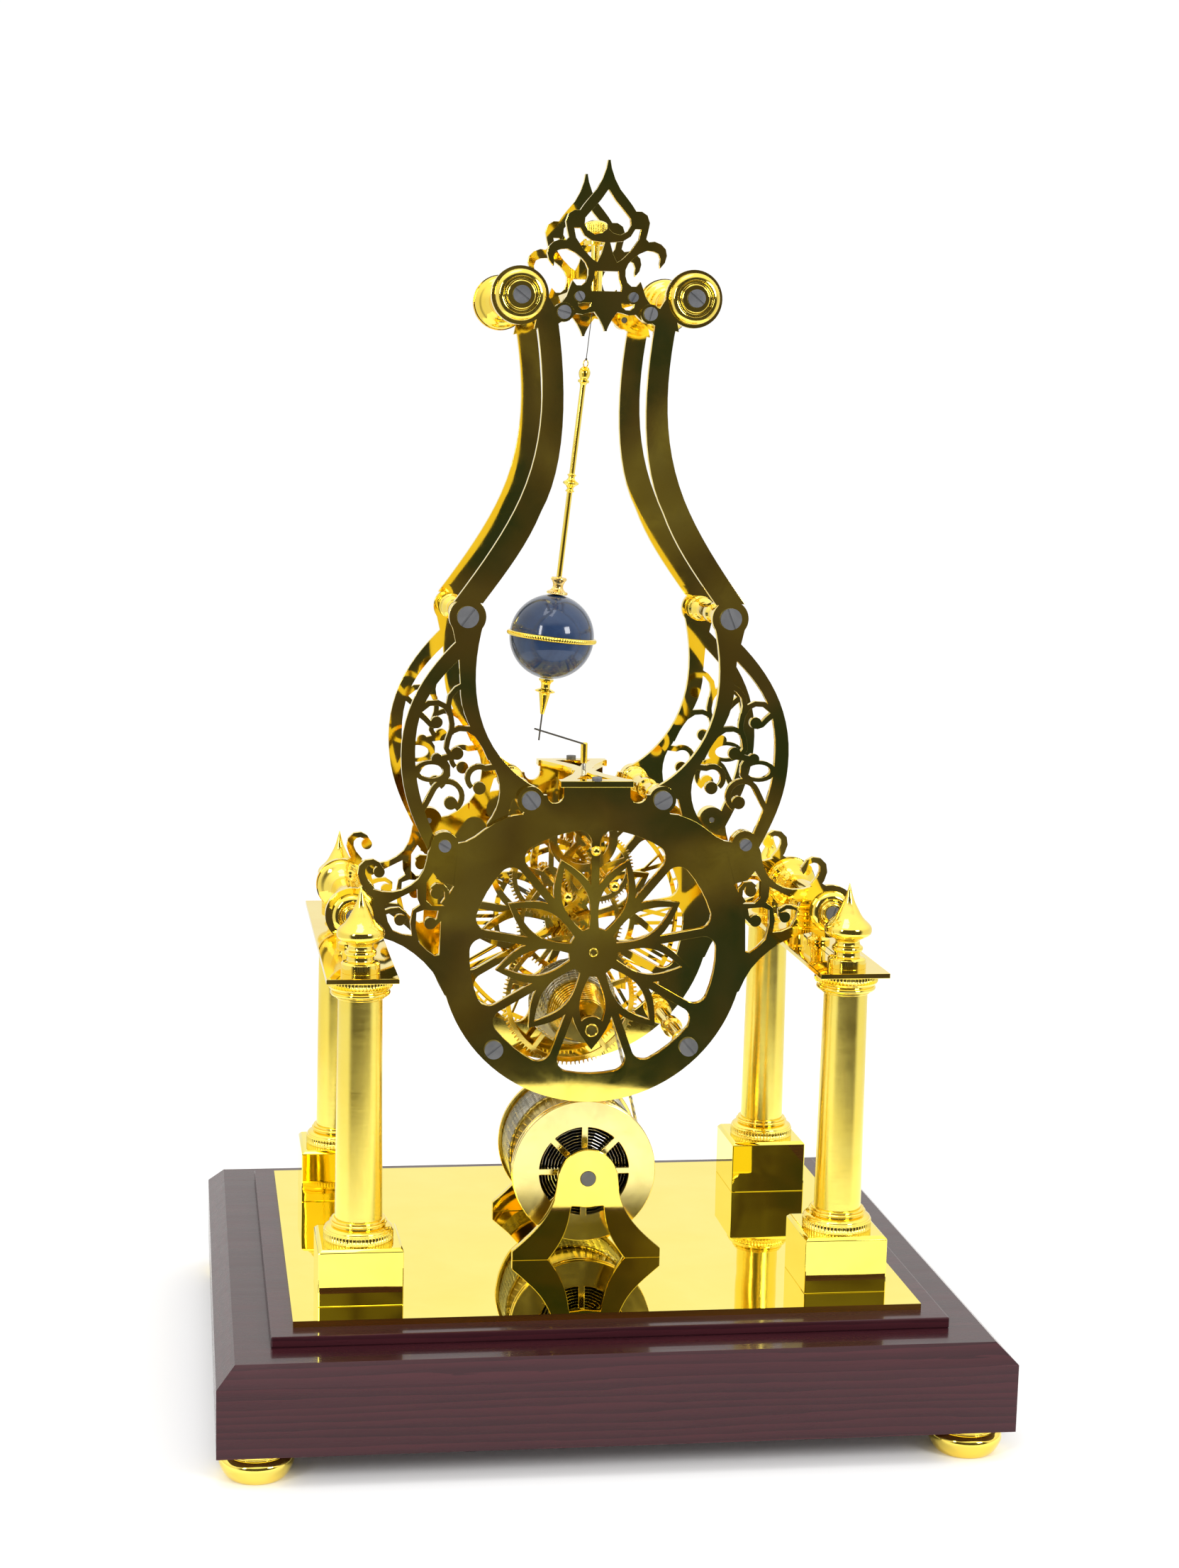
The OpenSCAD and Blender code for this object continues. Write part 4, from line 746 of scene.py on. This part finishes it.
# ---------------------------------------------------------- CAD nodes that stay: (material, edge width)
LOOK = {
    "wood_base": ("wood", 0.9), "wood_step": ("wood", 0.5), "base_plate": ("sole", 0),
    "column_blocks": ("sole", 0.35), "side_bars": ("brass", 0.22), "support_posts": ("turned", 0.12),
    "tie_rods": ("steel", 0), "rod_nuts": ("steel", 0.2),
    "back_plate": ("brass", 0.22), "front_plate": ("brass", 0.22),
    "back_lyre_left": ("brass", 0.22), "back_lyre_right": ("brass", 0.22),
    "front_lyre_left": ("brass", 0.22), "front_lyre_right": ("brass", 0.22),
    "back_crest": ("brass", 0.2), "front_crest": ("brass", 0.2),
    "frame_screws": ("blued", 0.14), "pivot_caps": ("turned_y", 0),
    "spindle_bridge": ("brass", 0.2), "spindle_cock": ("brass", 0.2),
    "great_wheel": ("wheel", 0.08), "winding_click": ("blued", 0.1), "fusee": ("wheel", 0.12),
    "centre_wheel": ("wheel", 0.08), "third_wheel": ("wheel", 0.08), "fourth_wheel": ("wheel", 0.08),
    "contrate_wheel": ("wheel", 0.06), "spindle": ("steel", 0.05),
    "barrel_drum": ("wheel", 0.2), "barrel_cap": ("cap", 0.2), "mainspring": ("spring", 0.2),
    "barrel_arbor": ("blued", 0.2), "back_stand": ("brass", 0.22), "front_stand": ("brass", 0.22),
    "setup_ratchet": ("blued", 0.08), "setup_click": ("blued", 0.1),
    "dial_ring": ("brass", 0.12), "minute_hand": ("blued", 0.1), "minute_wheel": ("wheel", 0.06),
    "hour_hand": ("blued", 0.1), "suspension_bar": ("brass", 0.2), "thread_collet": ("turned", 0.08),
}
WELD = 0.000002        # metres
BEVEL_FROM, CREASE_FROM = math.radians(38), math.radians(40)
SQUARE_ON = 0.99999    # a face whose normal lies along an axis stays flat


def dress(name, mat, width):
    """Gives a CAD node its material, and soft edges width millimetres wide."""
    ob = NODE[name]
    me = ob.data
    me.materials.clear()
    me.materials.append(M[mat])
    if "custom_normal" in me.attributes:
        me.attributes.remove(me.attributes["custom_normal"])
    wooden = name.startswith("wood")
    me.polygons.foreach_set("use_smooth", [not (wooden or max(map(abs, face.normal)) > SQUARE_ON)
                                           for face in me.polygons])
    ob.modifiers.new("weld", "WELD").merge_threshold = WELD
    if width:
        edge = ob.modifiers.new("edge", "BEVEL")
        edge.width = width * MM
        edge.segments = 2
        edge.limit_method = "ANGLE"
        edge.angle_limit = BEVEL_FROM
        edge.use_clamp_overlap = True
        edge.harden_normals = False
        edge.miter_outer = "MITER_ARC"
    ob.modifiers.new("creases", "EDGE_SPLIT").split_angle = CREASE_FROM


# ------------------------------------------------------------------ floor, world and light
NEAR_R, FAR_R = 0.50, 6.0  # metres


def floor():
    """A pale disc under the clock, and a ring round it that the brass doesn't reflect."""
    k = Mat("floor_paper", Roughness=0.75, Specular_IOR_Level=0.25)
    k.base(k.colours(k.noise(k.mapping(), 3, 3, 0.5), (0.93, 0.93, 0.935), (0.96, 0.96, 0.96)))
    k.bump(k.noise(k.mapping(), 700, 2, 0.5), 0.05, 0.0001)
    n = 96

    def circle(r):
        return [(r * math.cos(TAU * i / n), r * math.sin(TAU * i / n), 0) for i in range(n)]

    ring = [(i, n + i, n + (i + 1) % n, (i + 1) % n) for i in range(n)]
    for name, points, faces in (("floor_near", circle(NEAR_R), [tuple(range(n))]),
                                ("floor_far", circle(NEAR_R) + circle(FAR_R), ring)):
        me = bpy.data.meshes.new(name)
        me.from_pydata(points, [], faces)
        me.materials.append(k.m)
        ob = bpy.data.objects.new(name, me)
        scene.collection.objects.link(ob)
        ob.visible_glossy = name == "floor_near"


def studio():
    """A white backdrop, with a dark room behind the camera that only the brass reflects."""
    world = bpy.data.worlds.new("studio")
    scene.world = world
    world.use_nodes = True
    k = Nodes(world.node_tree)
    k.tree.nodes.clear()
    out = k.new("ShaderNodeOutputWorld")
    direction = k.new("ShaderNodeTexCoord").outputs["Generated"]
    split = k.new("ShaderNodeSeparateXYZ")
    k.link(direction, split.inputs[0])

    def combine(op, a, b):
        n = k.new("ShaderNodeMath", operation=op)
        for i, x in enumerate((a, b)):
            if isinstance(x, (int, float)):
                n.inputs[i].default_value = x
            else:
                k.link(x, n.inputs[i])
        return n.outputs[0]

    def fade(axis, lo, hi):
        return k.ramp(split.outputs[axis], lo, hi, 0.0, 1.0, interpolation_type="SMOOTHSTEP")

    def background(colour=None, strength=1.0):
        n = k.new("ShaderNodeBackground", (("Strength", strength),))
        if colour:
            n.inputs["Color"].default_value = (*colour, 1)
        return n

    def by_ray(kind, otherwise, when):
        n = k.new("ShaderNodeMixShader")
        k.link(rays.outputs[kind], n.inputs[0])
        k.link(otherwise.outputs[0], n.inputs[1])
        k.link(when.outputs[0], n.inputs[2])
        return n

    # the dark room lies behind the camera; the backdrop is on the far side, at the sides and overhead
    room = combine("MULTIPLY", fade("Y", -0.42, -0.70), fade("Z", 0.72, 0.5))
    bright = combine("ADD", 0.92, combine("MULTIPLY", fade("Z", 0.05, 0.8), 0.35))
    tones = k.colours(k.noise(direction, 13.0, 3.0, 0.6, 0.8), (0.024, 0.036, 0.040),
                      (0.150, 0.140, 0.100), 0.36, 0.66, middle=(0.066, 0.052, 0.050))
    white = k.new("ShaderNodeVectorMath", operation="SCALE")
    white.inputs[0].default_value = (1, 0.99, 0.965)
    k.link(bright, white.inputs["Scale"])
    around = k.new("ShaderNodeMix", data_type="RGBA")
    k.link(room, around.inputs[0])
    k.link(white.outputs[0], around.inputs[6])
    k.link(tones, around.inputs[7])
    mirrored = background()
    k.link(around.outputs[2], mirrored.inputs["Color"])
    rays = k.new("ShaderNodeLightPath")
    lit = by_ray("Is Diffuse Ray", mirrored, background((1, 0.995, 0.985), 1.1))
    seen = by_ray("Is Camera Ray", lit, background((1, 1, 1), 1.02))
    k.link(seen.outputs[0], out.inputs["Surface"])


def softbox(name, place, size_x, size_y, power, target):
    """An area light that points at target and that the camera doesn't see."""
    d = bpy.data.lights.new(name, "AREA")
    d.shape = "RECTANGLE"
    d.size, d.size_y = size_x, size_y
    d.energy = power
    o = bpy.data.objects.new(name, d)
    scene.collection.objects.link(o)
    o.location = place
    o.rotation_euler = (Vector(target) - Vector(place)).to_track_quat("-Z", "Y").to_euler()
    o.visible_camera = False


camera()
for build in (feet, column_rings, shafts, finials, spools, pillars, rosettes, pivot_rims, rating_screw,
              pendulum_rod, ball_cap, ball, ball_ring, thread_and_eye, needle_and_crank, chains):
    build()
for node, (mat, width) in LOOK.items():
    dress(node, mat, width)
floor()
studio()
softbox("key_left", (-0.90, -1.02, 0.80), 0.16, 0.60, 5.5, (0, 0, 0.28))
softbox("key_right", (0.80, -1.10, 0.80), 0.36, 0.42, 8.0, (0, 0, 0.28))
softbox("overhead", (-0.18, -0.30, 1.45), 0.50, 0.50, 2.6, (0, 0, 0.2))
